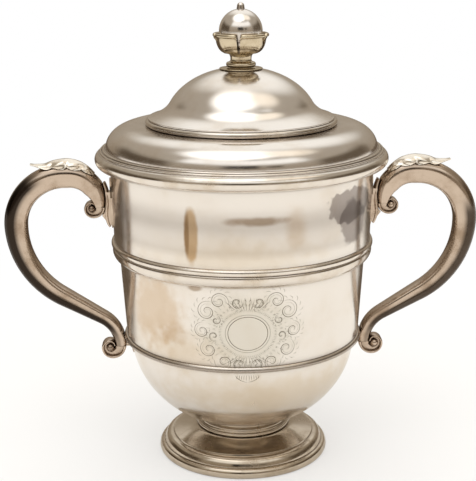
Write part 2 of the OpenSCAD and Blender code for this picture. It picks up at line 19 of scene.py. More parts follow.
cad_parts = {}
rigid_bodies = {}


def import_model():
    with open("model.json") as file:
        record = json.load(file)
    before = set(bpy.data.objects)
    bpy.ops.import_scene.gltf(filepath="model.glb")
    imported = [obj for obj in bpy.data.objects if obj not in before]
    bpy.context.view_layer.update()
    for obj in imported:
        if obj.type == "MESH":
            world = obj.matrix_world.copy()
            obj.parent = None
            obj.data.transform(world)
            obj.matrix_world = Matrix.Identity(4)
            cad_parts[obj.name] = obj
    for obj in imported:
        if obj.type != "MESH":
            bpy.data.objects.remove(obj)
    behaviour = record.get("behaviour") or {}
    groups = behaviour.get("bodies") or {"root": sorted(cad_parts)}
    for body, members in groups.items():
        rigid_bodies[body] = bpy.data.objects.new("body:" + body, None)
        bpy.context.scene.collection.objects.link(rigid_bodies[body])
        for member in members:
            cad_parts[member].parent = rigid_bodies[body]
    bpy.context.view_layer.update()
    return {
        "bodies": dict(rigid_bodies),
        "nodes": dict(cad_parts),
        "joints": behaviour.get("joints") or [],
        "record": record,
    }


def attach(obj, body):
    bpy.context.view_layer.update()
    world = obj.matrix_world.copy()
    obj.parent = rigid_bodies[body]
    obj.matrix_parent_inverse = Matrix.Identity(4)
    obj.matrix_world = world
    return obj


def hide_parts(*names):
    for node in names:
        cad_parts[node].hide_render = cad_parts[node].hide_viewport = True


LOG = logging.getLogger("cup")
MM = 0.001
TURN = 2 * math.pi
SHARP = 50  # Degrees between faces above which an edge is drawn sharp
BACK = 20  # Steps over the crowned back of a handle's section

Point = tuple[float, float]
Outline = list[Point]


class Body(Enum):
    """The two rigid bodies that pieces ride on."""

    CUP = "cup"
    COVER = "cover"


class Side(Enum):
    """Which side of the cup a handle stands on."""

    RIGHT = 1
    LEFT = -1


# ---------------------------------------------------------------- curves


def oval(cx: float, cz: float, a: float, b: float, start: float, end: float, steps: int) -> Outline:
    """Points along part of an ellipse.

    Args:
        cx: Centre's radius.
        cz: Centre's height.
        a: Half width.
        b: Half height.
        start: First angle in degrees, from +X.
        end: Last angle in degrees.
        steps: Number of segments.

    Returns:
        The points in order.
    """
    angles = [math.radians(start + (end - start) * i / steps) for i in range(steps + 1)]
    return [(cx + a * math.cos(w), cz + b * math.sin(w)) for w in angles]


def bend(p: Point, q: Point, r: Point, steps: int) -> Outline:
    """Points along a quadratic curve.

    Args:
        p: Start.
        q: Point that the curve leans towards.
        r: End.
        steps: Number of segments.

    Returns:
        The points in order.
    """
    us = [i / steps for i in range(steps + 1)]
    return [
        tuple((1 - u) ** 2 * p[k] + 2 * u * (1 - u) * q[k] + u * u * r[k] for k in (0, 1)) for u in us
    ]


def mix(a: float, b: float, u: float) -> float:
    """Value that runs from a to b as u runs from 0 to 1."""
    return a + (b - a) * u


def smooth(u: float) -> float:
    """Soft step from 0 to 1."""
    u = min(1.0, max(0.0, u))
    return u * u * (3 - 2 * u)


def squared(value: float, power: float) -> float:
    """A sine or cosine raised to a power that squares off its curve, with its sign kept."""
    return math.copysign(abs(value) ** power, value)


def soften(points: Outline, radius: float, closed: bool) -> Outline:
    """Rounds an outline's corners and holds its flats flat with support points.

    Args:
        points: The outline.
        radius: Rounding radius at each corner.
        closed: Whether the last point joins the first.

    Returns:
        The softened outline.
    """
    count = len(points)
    out: Outline = []
    for i, here in enumerate(points):
        if not closed and i in (0, count - 1):
            out.append(here)
            continue
        p, h, q = (np.array(v, float) for v in (points[i - 1], here, points[(i + 1) % count]))
        before, after = h - p, q - h
        lb, la = np.linalg.norm(before), np.linalg.norm(after)
        if lb < 1e-6 or la < 1e-6:
            continue
        before, after = before / lb, after / la
        turn = math.acos(max(-1.0, min(1.0, float(before @ after))))
        if turn < math.radians(16):
            out.append(here)
            continue
        cut = min(radius * math.tan(turn / 2), 0.42 * lb, 0.42 * la)
        first, last = h - before * cut, h + after * cut
        out.append(tuple(first - before * min(0.5 * cut, 0.3 * lb)))
        out.extend(bend(tuple(first), tuple(h), tuple(last), 3))
        out.append(tuple(last + after * min(0.5 * cut, 0.3 * la)))
    return out


def divided(points: Outline, longest: float, closed: bool) -> Outline:
    """Adds points along an outline's long straights.

    Args:
        points: The outline.
        longest: Longest stretch left without a point, in millimetres.
        closed: Whether the last point joins the first.

    Returns:
        The outline with the added points.
    """
    out: Outline = []
    count = len(points)
    for i, here in enumerate(points):
        out.append(here)
        if not closed and i == count - 1:
            break
        there = points[(i + 1) % count]
        parts = math.ceil(math.dist(here, there) / longest)
        out.extend((mix(here[0], there[0], k / parts), mix(here[1], there[1], k / parts)) for k in range(1, parts))
    return out


# ---------------------------------------------------------------- meshes


def shown(name: str, mesh: bpy.types.Mesh) -> bpy.types.Object:
    """Makes a smooth-shaded object from a mesh and links it to the scene."""
    mesh.shade_smooth()
    mesh.set_sharp_from_angle(angle=math.radians(SHARP))
    obj = bpy.data.objects.new(name, mesh)
    bpy.context.scene.collection.objects.link(obj)
    return obj


def make_object(name: str, verts: np.ndarray, faces: Sequence[Sequence[int]]) -> bpy.types.Object:
    """Makes a smooth-shaded object from millimetre vertices.

    Args:
        name: Piece name.
        verts: Array of points, in millimetres.
        faces: Vertex numbers of each face.

    Returns:
        The new object, linked to the scene, with its place in its mesh.
    """
    mesh = bpy.data.meshes.new(name)
    mesh.from_pydata((np.asarray(verts, float) * MM).tolist(), [], [list(f) for f in faces])
    bm = bmesh.new()
    bm.from_mesh(mesh)
    bmesh.ops.recalc_face_normals(bm, faces=bm.faces)
    if bm.calc_volume(signed=True) < 0:
        bmesh.ops.reverse_faces(bm, faces=bm.faces)
    bm.to_mesh(mesh)
    bm.free()
    return shown(name, mesh)


def lathe(name: str, outline: Outline, closed: bool = True, steps: int = 192, corner: float = 0.25) -> bpy.types.Object:
    """Turns an outline round the cup's axis.

    Args:
        name: Piece name.
        outline: Radius and height of each point, in millimetres.
        closed: Whether the outline is a closed loop; if not, it starts and ends on the axis.
        steps: Number of facets round the axis.
        corner: Rounding of the outline's corners.

    Returns:
        The turned piece.
    """
    path = divided(soften(outline, corner, closed), 2.5, closed)
    rings: list[list[int]] = []
    verts: list[tuple[float, float, float]] = []
    for r, z in path:
        if r < 1e-4:
            rings.append([len(verts)])
            verts.append((0.0, 0.0, z))
            continue
        rings.append(list(range(len(verts), len(verts) + steps)))
        for k in range(steps):
            w = TURN * (k + 0.5) / steps
            verts.append((r * math.cos(w), r * math.sin(w), z))
    faces = []
    pairs = len(rings) if closed else len(rings) - 1
    for i in range(pairs):
        a, b = rings[i], rings[(i + 1) % len(rings)]
        for k in range(steps):
            m = (k + 1) % steps
            if len(a) == 1 and len(b) == 1:
                break
            if len(a) == 1:
                faces.append((a[0], b[m], b[k]))
            elif len(b) == 1:
                faces.append((a[k], a[m], b[0]))
            else:
                faces.append((a[k], a[m], b[m], b[k]))
    obj = make_object(name, np.array(verts), faces)
    obj["turned_steps"] = steps
    return obj


def tube(name: str, rings: np.ndarray, looped: bool = False) -> bpy.types.Object:
    """Skins a row of equal rings into a closed solid.

    Args:
        name: Piece name.
        rings: Array of rings by points by 3, in millimetres.
        looped: Whether the last ring joins the first.

    Returns:
        The skinned piece.
    """
    n, m = rings.shape[:2]
    faces = [
        (i * m + j, i * m + (j + 1) % m, ((i + 1) % n) * m + (j + 1) % m, ((i + 1) % n) * m + j)
        for i in range(n if looped else n - 1)
        for j in range(m)
    ]
    verts = rings.reshape(-1, 3)
    if not looped:
        caps = np.array([rings[0].mean(axis=0), rings[-1].mean(axis=0)])
        verts = np.concatenate([verts, caps])
        faces += [(n * m, (j + 1) % m, j) for j in range(m)]
        faces += [(n * m + 1, (n - 1) * m + j, (n - 1) * m + (j + 1) % m) for j in range(m)]
    return make_object(name, verts, faces)


def sheet_solid(name: str, top: np.ndarray, under: np.ndarray) -> bpy.types.Object:
    """Closes two matching grids into one thin solid.

    Args:
        name: Piece name.
        top: Rows by columns by 3 outer points, in millimetres.
        under: The inner points that match them.

    Returns:
        The closed piece.
    """
    loops = np.concatenate([top, under[:, ::-1]], axis=1)
    return tube(name, loops)


def joined(name: str, parts: Sequence[bpy.types.Object]) -> bpy.types.Object:
    """Joins pieces into one object.

    Args:
        name: Name of the result.
        parts: Objects whose meshes it takes. They are removed.

    Returns:
        The joined object.
    """
    bm = bmesh.new()
    for part in parts:
        bm.from_mesh(part.data)
    mesh = bpy.data.meshes.new(name)
    bm.to_mesh(mesh)
    bm.free()
    for part in parts:
        old = part.data
        bpy.data.objects.remove(part)
        bpy.data.meshes.remove(old)
    return shown(name, mesh)


def mirrored(points: np.ndarray, side: Side) -> np.ndarray:
    """Puts right-hand points on their side of the cup."""
    return points * np.array([side.value, 1.0, 1.0])


# ---------------------------------------------------------------- node trees


class Board:
    """Adds nodes to a tree and links them."""

    def __init__(self, tree: bpy.types.NodeTree) -> None:
        """Keeps the tree that it works on."""
        self.tree = tree

    def feed(self, socket: bpy.types.NodeSocket, value: object) -> None:
        """Links a socket to another, or sets its value."""
        if isinstance(value, bpy.types.NodeSocket):
            self.tree.links.new(value, socket)
        else:
            socket.default_value = value

    def node(self, kind: str, inputs: dict[str | int, object] | None = None, **settings: object) -> bpy.types.Node:
        """Adds a node.

        Args:
            kind: Node type.
            inputs: Input name or number to a socket or a value.
            **settings: Properties that are set before the inputs.

        Returns:
            The node.
        """
        made = self.tree.nodes.new(kind)
        for key, value in settings.items():
            setattr(made, key, value)
        for key, value in (inputs or {}).items():
            self.feed(made.inputs[key], value)
        return made

    def calc(self, kind: str, *values: object, clamp: bool = False) -> bpy.types.NodeSocket:
        """One sum on sockets or numbers."""
        made = self.node("ShaderNodeMath", dict(enumerate(values)), operation=kind, use_clamp=clamp)
        return made.outputs["Value"]

    def step(self, value: object, start: float, end: float, top: float = 1.0) -> bpy.types.NodeSocket:
        """Soft step from 0 at start to top at end."""
        limits = {"Value": value, "From Min": start, "From Max": end, "To Max": top}
        return self.node("ShaderNodeMapRange", limits, interpolation_type="SMOOTHSTEP").outputs["Result"]

    def colours(self, factor: object, under: object, over: object, kind: str = "MIX") -> bpy.types.NodeSocket:
        """Mix of two colours."""
        sides = {"Factor": factor, "A": under, "B": over}
        return self.node("ShaderNodeMix", sides, data_type="RGBA", blend_type=kind).outputs["Result"]

    def place(self) -> bpy.types.NodeSocket:
        """The object's own coordinates."""
        return self.node("ShaderNodeTexCoord").outputs["Object"]

    def split(self, vector: bpy.types.NodeSocket) -> bpy.types.bpy_prop_collection:
        """The X, Y and Z of a vector."""
        return self.node("ShaderNodeSeparateXYZ", {"Vector": vector}).outputs


class RuleTree(Board):
    """A Geometry Nodes tree with named inputs, made once and used on several pieces."""

    def __init__(self, name: str, inputs: dict[str, tuple[str, object]]) -> None:
        """Makes the tree's sockets, with Material last.

        Args:
            name: Tree name.
            inputs: Input name to (socket type, default value).
        """
        super().__init__(bpy.data.node_groups.new(name, "GeometryNodeTree"))
        face = self.tree.interface
        face.new_socket("Geometry", in_out="INPUT", socket_type="NodeSocketGeometry")
        self.sockets: dict[str, str] = {}
        for label, (kind, value) in {**inputs, "Material": ("NodeSocketMaterial", None)}.items():
            socket = face.new_socket(label, in_out="INPUT", socket_type=kind)
            if value is not None:
                socket.default_value = value
            self.sockets[label] = socket.identifier
        face.new_socket("Geometry", in_out="OUTPUT", socket_type="NodeSocketGeometry")
        self.given = self.node("NodeGroupInput").outputs
        self.end = self.node("NodeGroupOutput")

    def finish(self, shape: bpy.types.NodeSocket) -> None:
        """Ends the tree with real geometry in the asked material.

        Args:
            shape: The socket that gives the finished shape.
        """
        real = self.node("GeometryNodeRealizeInstances", {"Geometry": shape}).outputs["Geometry"]
        paint = self.node("GeometryNodeSetMaterial", {"Geometry": real, "Material": self.given["Material"]})
        self.feed(self.end.inputs["Geometry"], paint.outputs["Geometry"])

    def grow(self, name: str, base: bpy.types.Object, values: dict[str, object]) -> bpy.types.Object:
        """Runs the tree on an object and keeps the result as a plain mesh.

        Args:
            name: Name of the finished piece.
            base: Object the tree starts from. It is removed.
            values: Input name to value.

        Returns:
            The finished piece.
        """
        modifier = base.modifiers.new("rule", "NODES")
        modifier.node_group = self.tree
        for label, value in values.items():
            modifier[self.sockets[label]] = value
        bpy.context.view_layer.update()
        graph = bpy.context.evaluated_depsgraph_get()
        mesh = bpy.data.meshes.new_from_object(base.evaluated_get(graph), depsgraph=graph)
        mesh.name = name
        base.modifiers.remove(modifier)
        bpy.data.objects.remove(base)
        return shown(name, mesh)


def ring_tree() -> RuleTree:
    """Tree that repeats one shape round the cup's axis.

    Returns:
        The tree, with inputs Count, First Angle and Material.
    """
    rule = RuleTree("repeat_round_axis", {"Count": ("NodeSocketInt", 5), "First Angle": ("NodeSocketFloat", 0.0)})
    count = rule.given["Count"]
    line = rule.node("GeometryNodeMeshLine", {"Offset": (0, 0, 0), "Count": count}, mode="OFFSET")
    index = rule.node("GeometryNodeInputIndex").outputs["Index"]
    angle = rule.calc("MULTIPLY_ADD", index, rule.calc("DIVIDE", TURN, count), rule.given["First Angle"])
    turn = rule.node("ShaderNodeCombineXYZ", {"Z": angle}).outputs["Vector"]
    spread = rule.node(
        "GeometryNodeInstanceOnPoints",
        {"Points": line.outputs["Mesh"], "Instance": rule.given["Geometry"], "Rotation": turn},
    )
    rule.finish(spread.outputs["Instances"])
    return rule


def wire_tree() -> RuleTree:
    """Tree that draws tapered wires along curves, such as engraved strokes and ribs.

    Returns:
        The tree, with inputs Radius, Sides and Material.
    """
    rule = RuleTree("wire_along_curve", {"Radius": ("NodeSocketFloat", 0.001), "Sides": ("NodeSocketInt", 8)})
    section = rule.node(
        "GeometryNodeCurvePrimitiveCircle",
        {"Resolution": rule.given["Sides"], "Radius": rule.given["Radius"]},
        mode="RADIUS",
    )
    skin = rule.node(
        "GeometryNodeCurveToMesh",
        {"Curve": rule.given["Geometry"], "Profile Curve": section.outputs["Curve"], "Fill Caps": True},
    )
    if "Scale" in skin.inputs:
        rule.feed(skin.inputs["Scale"], rule.node("GeometryNodeInputRadius").outputs["Radius"])
    rule.finish(skin.outputs["Mesh"])
    return rule


def curve_object(name: str, strokes: Sequence[Sequence[tuple[Sequence[float], float]]]) -> bpy.types.Object:
    """Makes a curve object from strokes, for the wire tree to skin.

    Args:
        name: Object name.
        strokes: For each stroke, its points in millimetres and their relative radii.

    Returns:
        The curve object.
    """
    data = bpy.data.curves.new(name, "CURVE")
    data.dimensions = "3D"
    for stroke in strokes:
        spline = data.splines.new("POLY")
        spline.points.add(len(stroke) - 1)
        for slot, (place, radius) in zip(spline.points, stroke):
            slot.co = (place[0] * MM, place[1] * MM, place[2] * MM, 1)
            slot.radius = radius
    obj = bpy.data.objects.new(name, data)
    bpy.context.scene.collection.objects.link(obj)
    return obj


# ---------------------------------------------------------------- finishes


class ShaderGroups:
    """Shader node groups that several finishes share."""

    def __init__(self) -> None:
        """Builds the groups once."""
        self.tarnish_and_reflection = self._tarnish_and_reflection()
        self.polish = self._polish()

    @staticmethod
    def _group(name: str, colours: dict[str, tuple[float, ...]], values: dict[str, float], *outs: str) -> Board:
        """Makes an empty group with its sockets.

        Args:
            name: Group name.
            colours: Colour inputs and their defaults.
            values: Number inputs and their defaults.
            *outs: Output names. Color is a colour and the others are numbers.

        Returns:
            The group's board.
        """
        tree = bpy.data.node_groups.new(name, "ShaderNodeTree")
        for kind, inputs in (("NodeSocketColor", colours), ("NodeSocketFloat", values)):
            for label, value in inputs.items():
                tree.interface.new_socket(label, in_out="INPUT", socket_type=kind).default_value = value
        for label in outs:
            kind = "NodeSocketColor" if label == "Color" else "NodeSocketFloat"
            tree.interface.new_socket(label, in_out="OUTPUT", socket_type=kind)
        return Board(tree)

    def _tarnish_and_reflection(self) -> bpy.types.NodeTree:
        """Tarnished clouds over the open faces, dark grime in the creases and a painted dark reflection on the handles'
        backs.

        Returns:
            Group with inputs Bright, Cloud, Crease, Scale, Amount and Grime and outputs Color and Mask.
        """
        board = self._group(
            "silver_tarnish_and_reflection",
            {"Bright": (0.9, 0.86, 0.8, 1), "Cloud": (0.7, 0.6, 0.45, 1), "Crease": (0.1, 0.07, 0.05, 1)},
            {"Scale": 30.0, "Amount": 0.4, "Grime": 0.8},
            "Color",
            "Mask",
        )
        given = board.node("NodeGroupInput").outputs
        noise = {"Vector": board.place(), "Scale": given["Scale"], "Detail": 5, "Roughness": 0.62}
        clouds = board.node("ShaderNodeTexNoise", noise).outputs["Fac"]
        cloudy = board.calc("MULTIPLY", board.step(clouds, 0.42, 0.74), given["Amount"])
        colour = board.colours(cloudy, given["Bright"], given["Cloud"])
        crease = board.node("ShaderNodeAttribute", attribute_name="crease").outputs["Fac"]
        grimy = board.calc("MULTIPLY", crease, given["Grime"], clamp=True)
        colour = board.colours(grimy, colour, given["Crease"])
        # painted dark reflection: where this attribute is set, the colour goes near black, standing in for the dark
        # room mirrored on the handles' backs
        dark_reflection = board.node("ShaderNodeAttribute", attribute_name="dark_reflection").outputs["Fac"]
        colour = board.colours(dark_reflection, colour, (0.035, 0.026, 0.02, 1))
        mask = board.calc("MAXIMUM", cloudy, grimy)
        board.node("NodeGroupOutput", {"Color": colour, "Mask": mask})
        return board.tree

    def _polish(self) -> bpy.types.NodeTree:
        """Hand-polished surface: broad waves of raised sheet, small knocks and fine scratches.

        Returns:
            Group with inputs Wave, Knock, Scratch, Gloss, Dull and Mask and outputs Height and Roughness.
        """
        board = self._group(
            "hand_polish",
            {},
            {"Wave": 0.4, "Knock": 0.05, "Scratch": 0.02, "Gloss": 0.12, "Dull": 0.35, "Mask": 0.0},
            "Height",
            "Roughness",
        )
        given = board.node("NodeGroupInput").outputs
        place = board.place()

        def noise(scale: float, detail: float, stretch: tuple[float, float, float]) -> bpy.types.NodeSocket:
            """One noise over the object's own coordinates."""
            vector = board.node("ShaderNodeMapping", {"Vector": place, "Scale": stretch}).outputs["Vector"]
            inputs = {"Vector": vector, "Scale": scale, "Detail": detail}
            return board.node("ShaderNodeTexNoise", inputs).outputs["Fac"]

        wave = board.calc("MULTIPLY", noise(22, 1, (1, 1, 1)), given["Wave"])
        knock = board.calc("MULTIPLY", noise(140, 2, (1, 1, 1)), given["Knock"])
        scratch = board.calc("MULTIPLY", noise(900, 3, (0.25, 0.25, 1.6)), given["Scratch"])
        height = board.calc("ADD", board.calc("ADD", wave, knock), scratch)
        limits = {"Value": noise(60, 4, (1, 1, 1.5)), "From Min": 0.3, "From Max": 0.75}
        worn = board.node("ShaderNodeMapRange", limits).outputs["Result"]
        share = board.calc("MULTIPLY_ADD", worn, 0.35, given["Mask"], clamp=True)
        ends = {"Value": share, "To Min": given["Gloss"], "To Max": given["Dull"]}
        rough = board.node("ShaderNodeMapRange", ends).outputs["Result"]
        board.node("NodeGroupOutput", {"Height": height, "Roughness": rough})
        return board.tree


@dataclass(frozen=True)
class StainAndReflection:
    """A ragged-edged patch of colour on the front of the cup, in object space. The patches are stains and tints, except
    the dark grey pair on the right of the upper drum, which is a painted reflection.

    Places and sizes are in millimetres across the front and up from the table.
    """

    x: float
    z: float
    half_w: float
    half_h: float
    soft: float
    ragged: float
    strength: float
    colour: tuple[float, float, float]

    def lay(self, board: Board, under: bpy.types.NodeSocket) -> bpy.types.NodeSocket:
        """Lays the patch over a colour.

        Args:
            board: The material's board.
            under: The colour below the patch.

        Returns:
            The colour with the patch laid on.
        """
        place = board.place()
        wide, tall = 1 / (self.half_w * MM), 1 / (self.half_h * MM)
        middle = (-self.x * MM * wide, 0, -self.z * MM * tall)
        shift = board.node("ShaderNodeVectorMath", {0: place, 1: (wide, 0, tall), 2: middle}, operation="MULTIPLY_ADD")
        far = board.node("ShaderNodeVectorMath", {0: shift.outputs["Vector"]}, operation="LENGTH").outputs["Value"]
        noise = board.node("ShaderNodeTexNoise", {"Vector": place, "Scale": 130, "Detail": 4}).outputs["Fac"]
        torn = board.calc("MULTIPLY_ADD", noise, 2 * self.ragged, -self.ragged)
        mask = board.step(board.calc("ADD", far, torn), 1 + self.soft, 1 - self.soft, self.strength)
        front = board.calc("LESS_THAN", board.split(place)["Y"], 0.0)
        return board.colours(board.calc("MULTIPLY", mask, front), under, (*self.colour, 1), "MULTIPLY")


@dataclass(frozen=True)
class SilverFinish:
    """One finish of silver.

    Colours are linear. Heights are in millimetres of bump.
    """

    name: str
    bright: tuple[float, float, float] = (0.785, 0.745, 0.70)
    cloud: tuple[float, float, float] = (0.68, 0.59, 0.48)
    crease: tuple[float, float, float] = (0.13, 0.085, 0.055)
    scale: float = 26.0
    amount: float = 0.45
    grime: float = 0.8
    gloss: float = 0.13
    dull: float = 0.34
    wave: float = 0.12
    knock: float = 0.006
    scratch: float = 0.0015
    stains_and_reflections: tuple[StainAndReflection, ...] = ()

    def build(self, groups: ShaderGroups) -> bpy.types.Material:
        """Builds the material.

        Args:
            groups: The shared shader groups.

        Returns:
            The material.
        """
        material = bpy.data.materials.new(self.name)
        material.use_nodes = True
        board = Board(material.node_tree)
        shader = board.tree.nodes["Principled BSDF"]
        tarnish_and_reflection = {"Scale": self.scale, "Amount": self.amount, "Grime": self.grime}
        for label in ("Bright", "Cloud", "Crease"):
            tarnish_and_reflection[label] = (*getattr(self, label.lower()), 1)
        coat = board.node("ShaderNodeGroup", tarnish_and_reflection, node_tree=groups.tarnish_and_reflection).outputs
        colour = coat["Color"]
        for overlay in self.stains_and_reflections:
            colour = overlay.lay(board, colour)
        polish = {label: getattr(self, label.lower()) for label in ("Wave", "Knock", "Scratch", "Gloss", "Dull")}
        face = board.node("ShaderNodeGroup", {**polish, "Mask": coat["Mask"]}, node_tree=groups.polish).outputs
        bump = board.node("ShaderNodeBump", {"Strength": 1.0, "Distance": MM, "Height": face["Height"]})
        shader.inputs["Metallic"].default_value = 1.0
        board.feed(shader.inputs["Base Color"], colour)
        board.feed(shader.inputs["Roughness"], face["Roughness"])
        board.feed(shader.inputs["Normal"], bump.outputs["Normal"])
        return material


@dataclass
class Workshop:
    """The frame, the shared materials and node trees, and the list of finished pieces."""

    frame: dict
    groups: ShaderGroups = field(default_factory=ShaderGroups)
    ring: RuleTree = field(default_factory=ring_tree)
    wire: RuleTree = field(default_factory=wire_tree)
    pieces: list[bpy.types.Object] = field(default_factory=list)

    def __post_init__(self) -> None:
        """Builds every finish once."""
        gold, brown, grey = (0.62, 0.44, 0.24), (0.42, 0.32, 0.22), (0.36, 0.33, 0.33)
        stains_and_reflections = (
            StainAndReflection(-34, 171, 4.2, 17, 0.25, 0.25, 0.85, gold),
            StainAndReflection(-36.5, 172, 1.4, 13, 0.5, 0.3, 0.7, brown),
            StainAndReflection(5, 180.5, 17, 2.6, 0.5, 0.5, 0.8, brown),
            StainAndReflection(29, 175, 6, 11, 0.6, 0.4, 0.35, gold),
            # painted reflection: these two dark grey patches stand for something dark mirrored on the right of the
            # upper drum
            StainAndReflection(65, 183, 15, 11, 0.07, 0.45, 0.8, grey),
            StainAndReflection(67, 172, 9, 14, 0.1, 0.45, 0.75, grey),
            StainAndReflection(-32, 137, 4, 1.8, 0.4, 0.4, 0.7, brown),
            StainAndReflection(35, 139.5, 9, 1.2, 0.5, 0.6, 0.5, grey),
            StainAndReflection(-57, 118, 15, 22, 0.5, 0.8, 0.6, (0.76, 0.60, 0.42)),
            StainAndReflection(-46, 104, 9, 6, 0.5, 0.8, 0.4, (0.70, 0.56, 0.40)),
            StainAndReflection(-37, 92, 24, 12, 0.7, 0.8, 0.4, (0.80, 0.68, 0.50)),
            StainAndReflection(0, 110, 29, 25, 0.35, 0.45, 0.34, (0.60, 0.60, 0.50)),
            StainAndReflection(20, 62, 60, 14, 0.7, 0.9, 0.45, (0.80, 0.68, 0.48)),
            StainAndReflection(-10, 158, 40, 10, 0.8, 0.8, 0.35, (0.82, 0.70, 0.50)),
        )
        self.raised = SilverFinish("raised_silver", stains_and_reflections=stains_and_reflections).build(self.groups)
        finishes = {
            "cover": {
                "bright": (0.82, 0.775, 0.73), "cloud": (0.70, 0.60, 0.49), "amount": 0.5, "wave": 0.1,
                "grime": 0.55,
            },
            "cast": {
                "bright": (0.56, 0.455, 0.365), "cloud": (0.36, 0.26, 0.18), "amount": 0.75, "scale": 60,
                "grime": 0.9, "gloss": 0.12, "dull": 0.36, "wave": 0.03, "knock": 0.012,
            },
            "moulding": {
                "bright": (0.76, 0.705, 0.64), "cloud": (0.58, 0.48, 0.36), "amount": 0.6, "grime": 0.6,
                "wave": 0.02, "scale": 60,
            },
            "foot": {
                "bright": (0.62, 0.54, 0.44), "cloud": (0.40, 0.31, 0.215), "amount": 0.75, "wave": 0.03,
                "scale": 45, "gloss": 0.09,
            },
            "chased": {
                "bright": (0.84, 0.78, 0.69), "cloud": (0.62, 0.5, 0.36), "scale": 120, "grime": 1.2,
                "gloss": 0.14, "wave": 0.0, "knock": 0.01,
            },
            "petal": {
                "bright": (0.64, 0.55, 0.40), "cloud": (0.40, 0.30, 0.18), "scale": 110, "amount": 0.7,
                "grime": 1.0, "gloss": 0.1, "wave": 0.0, "knock": 0.01,
            },
            "engraved": {
                "bright": (0.24, 0.22, 0.17), "cloud": (0.16, 0.14, 0.10), "scale": 160, "amount": 0.8,
                "grime": 0.3, "gloss": 0.3, "dull": 0.5, "wave": 0.0, "knock": 0.0,
            },
            "fixing": {
                "bright": (0.62, 0.58, 0.52), "scale": 200, "amount": 0.7, "gloss": 0.3, "dull": 0.5, "wave": 0.0,
            },
        }
        made = {name: SilverFinish(f"{name}_silver", **looks).build(self.groups) for name, looks in finishes.items()}
        self.cover, self.cast, self.moulding, self.foot = (made[n] for n in ("cover", "cast", "moulding", "foot"))
        self.chased, self.petal, self.graven, self.fixing = (made[n] for n in ("chased", "petal", "engraved", "fixing"))

    def place(
        self, obj: bpy.types.Object, body: Body, slot: str, material: bpy.types.Material, *nodes: str
    ) -> bpy.types.Object:
        """Dresses a piece and fixes it to its body.

        Args:
            obj: The piece.
            body: Body it rides on.
            slot: Material slot of the record. Not used.
            material: Its finish.
            *nodes: Frame nodes it stands for.

        Returns:
            The piece.
        """
        obj.data.materials.clear()
        obj.data.materials.append(material)
        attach(obj, body.value)
        if nodes:
            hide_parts(*nodes)
        self.pieces.append(obj)
        LOG.info("%s: %d faces on %s", obj.name, len(obj.data.polygons), body.value)
        return obj

    def dress(self, name: str, material: bpy.types.Material) -> None:
        """Gives a frame node that stays in view its finish.

        Args:
            name: The node.
            material: Its finish.
        """
        node = self.frame["nodes"][name]
        if not node.material_slots:
            node.data.materials.append(material)
        for slot in node.material_slots:
            slot.link = "OBJECT"
            slot.material = material
        LOG.info("%s: frame node in %s", name, material.name)

    def mark_creases(self, reach: float = 5.0, rays: int = 20, full: float = 0.42) -> None:
        """Writes how closed-in each point is to the crease attribute.

        Args:
            reach: How far a point looks for other metal, in millimetres.
            rays: Looks per point.
            full: Mean share of closed looks that makes a full crease.
        """
        verts: list[Vector] = []
        faces: list[tuple[int, ...]] = []
        for obj in self.pieces:
            offset = len(verts)
            verts.extend(v.co.copy() for v in obj.data.vertices)
            faces.extend(tuple(i + offset for i in p.vertices) for p in obj.data.polygons)
        tree = BVHTree.FromPolygons(verts, faces)
        looks = []
        for i in range(rays):
            z = (i + 0.5) / rays
            w = i * math.pi * (3 - math.sqrt(5))
            s = math.sqrt(1 - z * z)
            looks.append(Vector((s * math.cos(w), s * math.sin(w), z)))
        far = reach * MM
        for obj in self.pieces:
            mesh = obj.data
            steps = int(obj.get("turned_steps", 0))
            normals = [v.normal.copy() for v in mesh.vertices]
            values = np.zeros(len(mesh.vertices), np.float32)
            i = 0
            while i < len(mesh.vertices):
                co, normal = mesh.vertices[i].co, normals[i]
                turn = normal.to_track_quat("Z", "Y")
                shut = 0.0
                for look in looks:
                    way = turn @ look
                    hit = tree.ray_cast(co + normal * (0.05 * MM), way, far)
                    if hit[0] is not None:
                        shut += look.z * (1 - hit[3] / far)
                value = min(1.0, shut / (full * rays))
                run = steps if steps and co.xy.length > 1e-7 else 1
                values[i : i + run] = value
                i += run
            LOG.info("%s: mean crease %.2f", obj.name, float(values.mean()))
            mark = mesh.attributes.new("crease", "FLOAT", "POINT")
            mark.data.foreach_set("value", values)


# ---------------------------------------------------------------- the cup


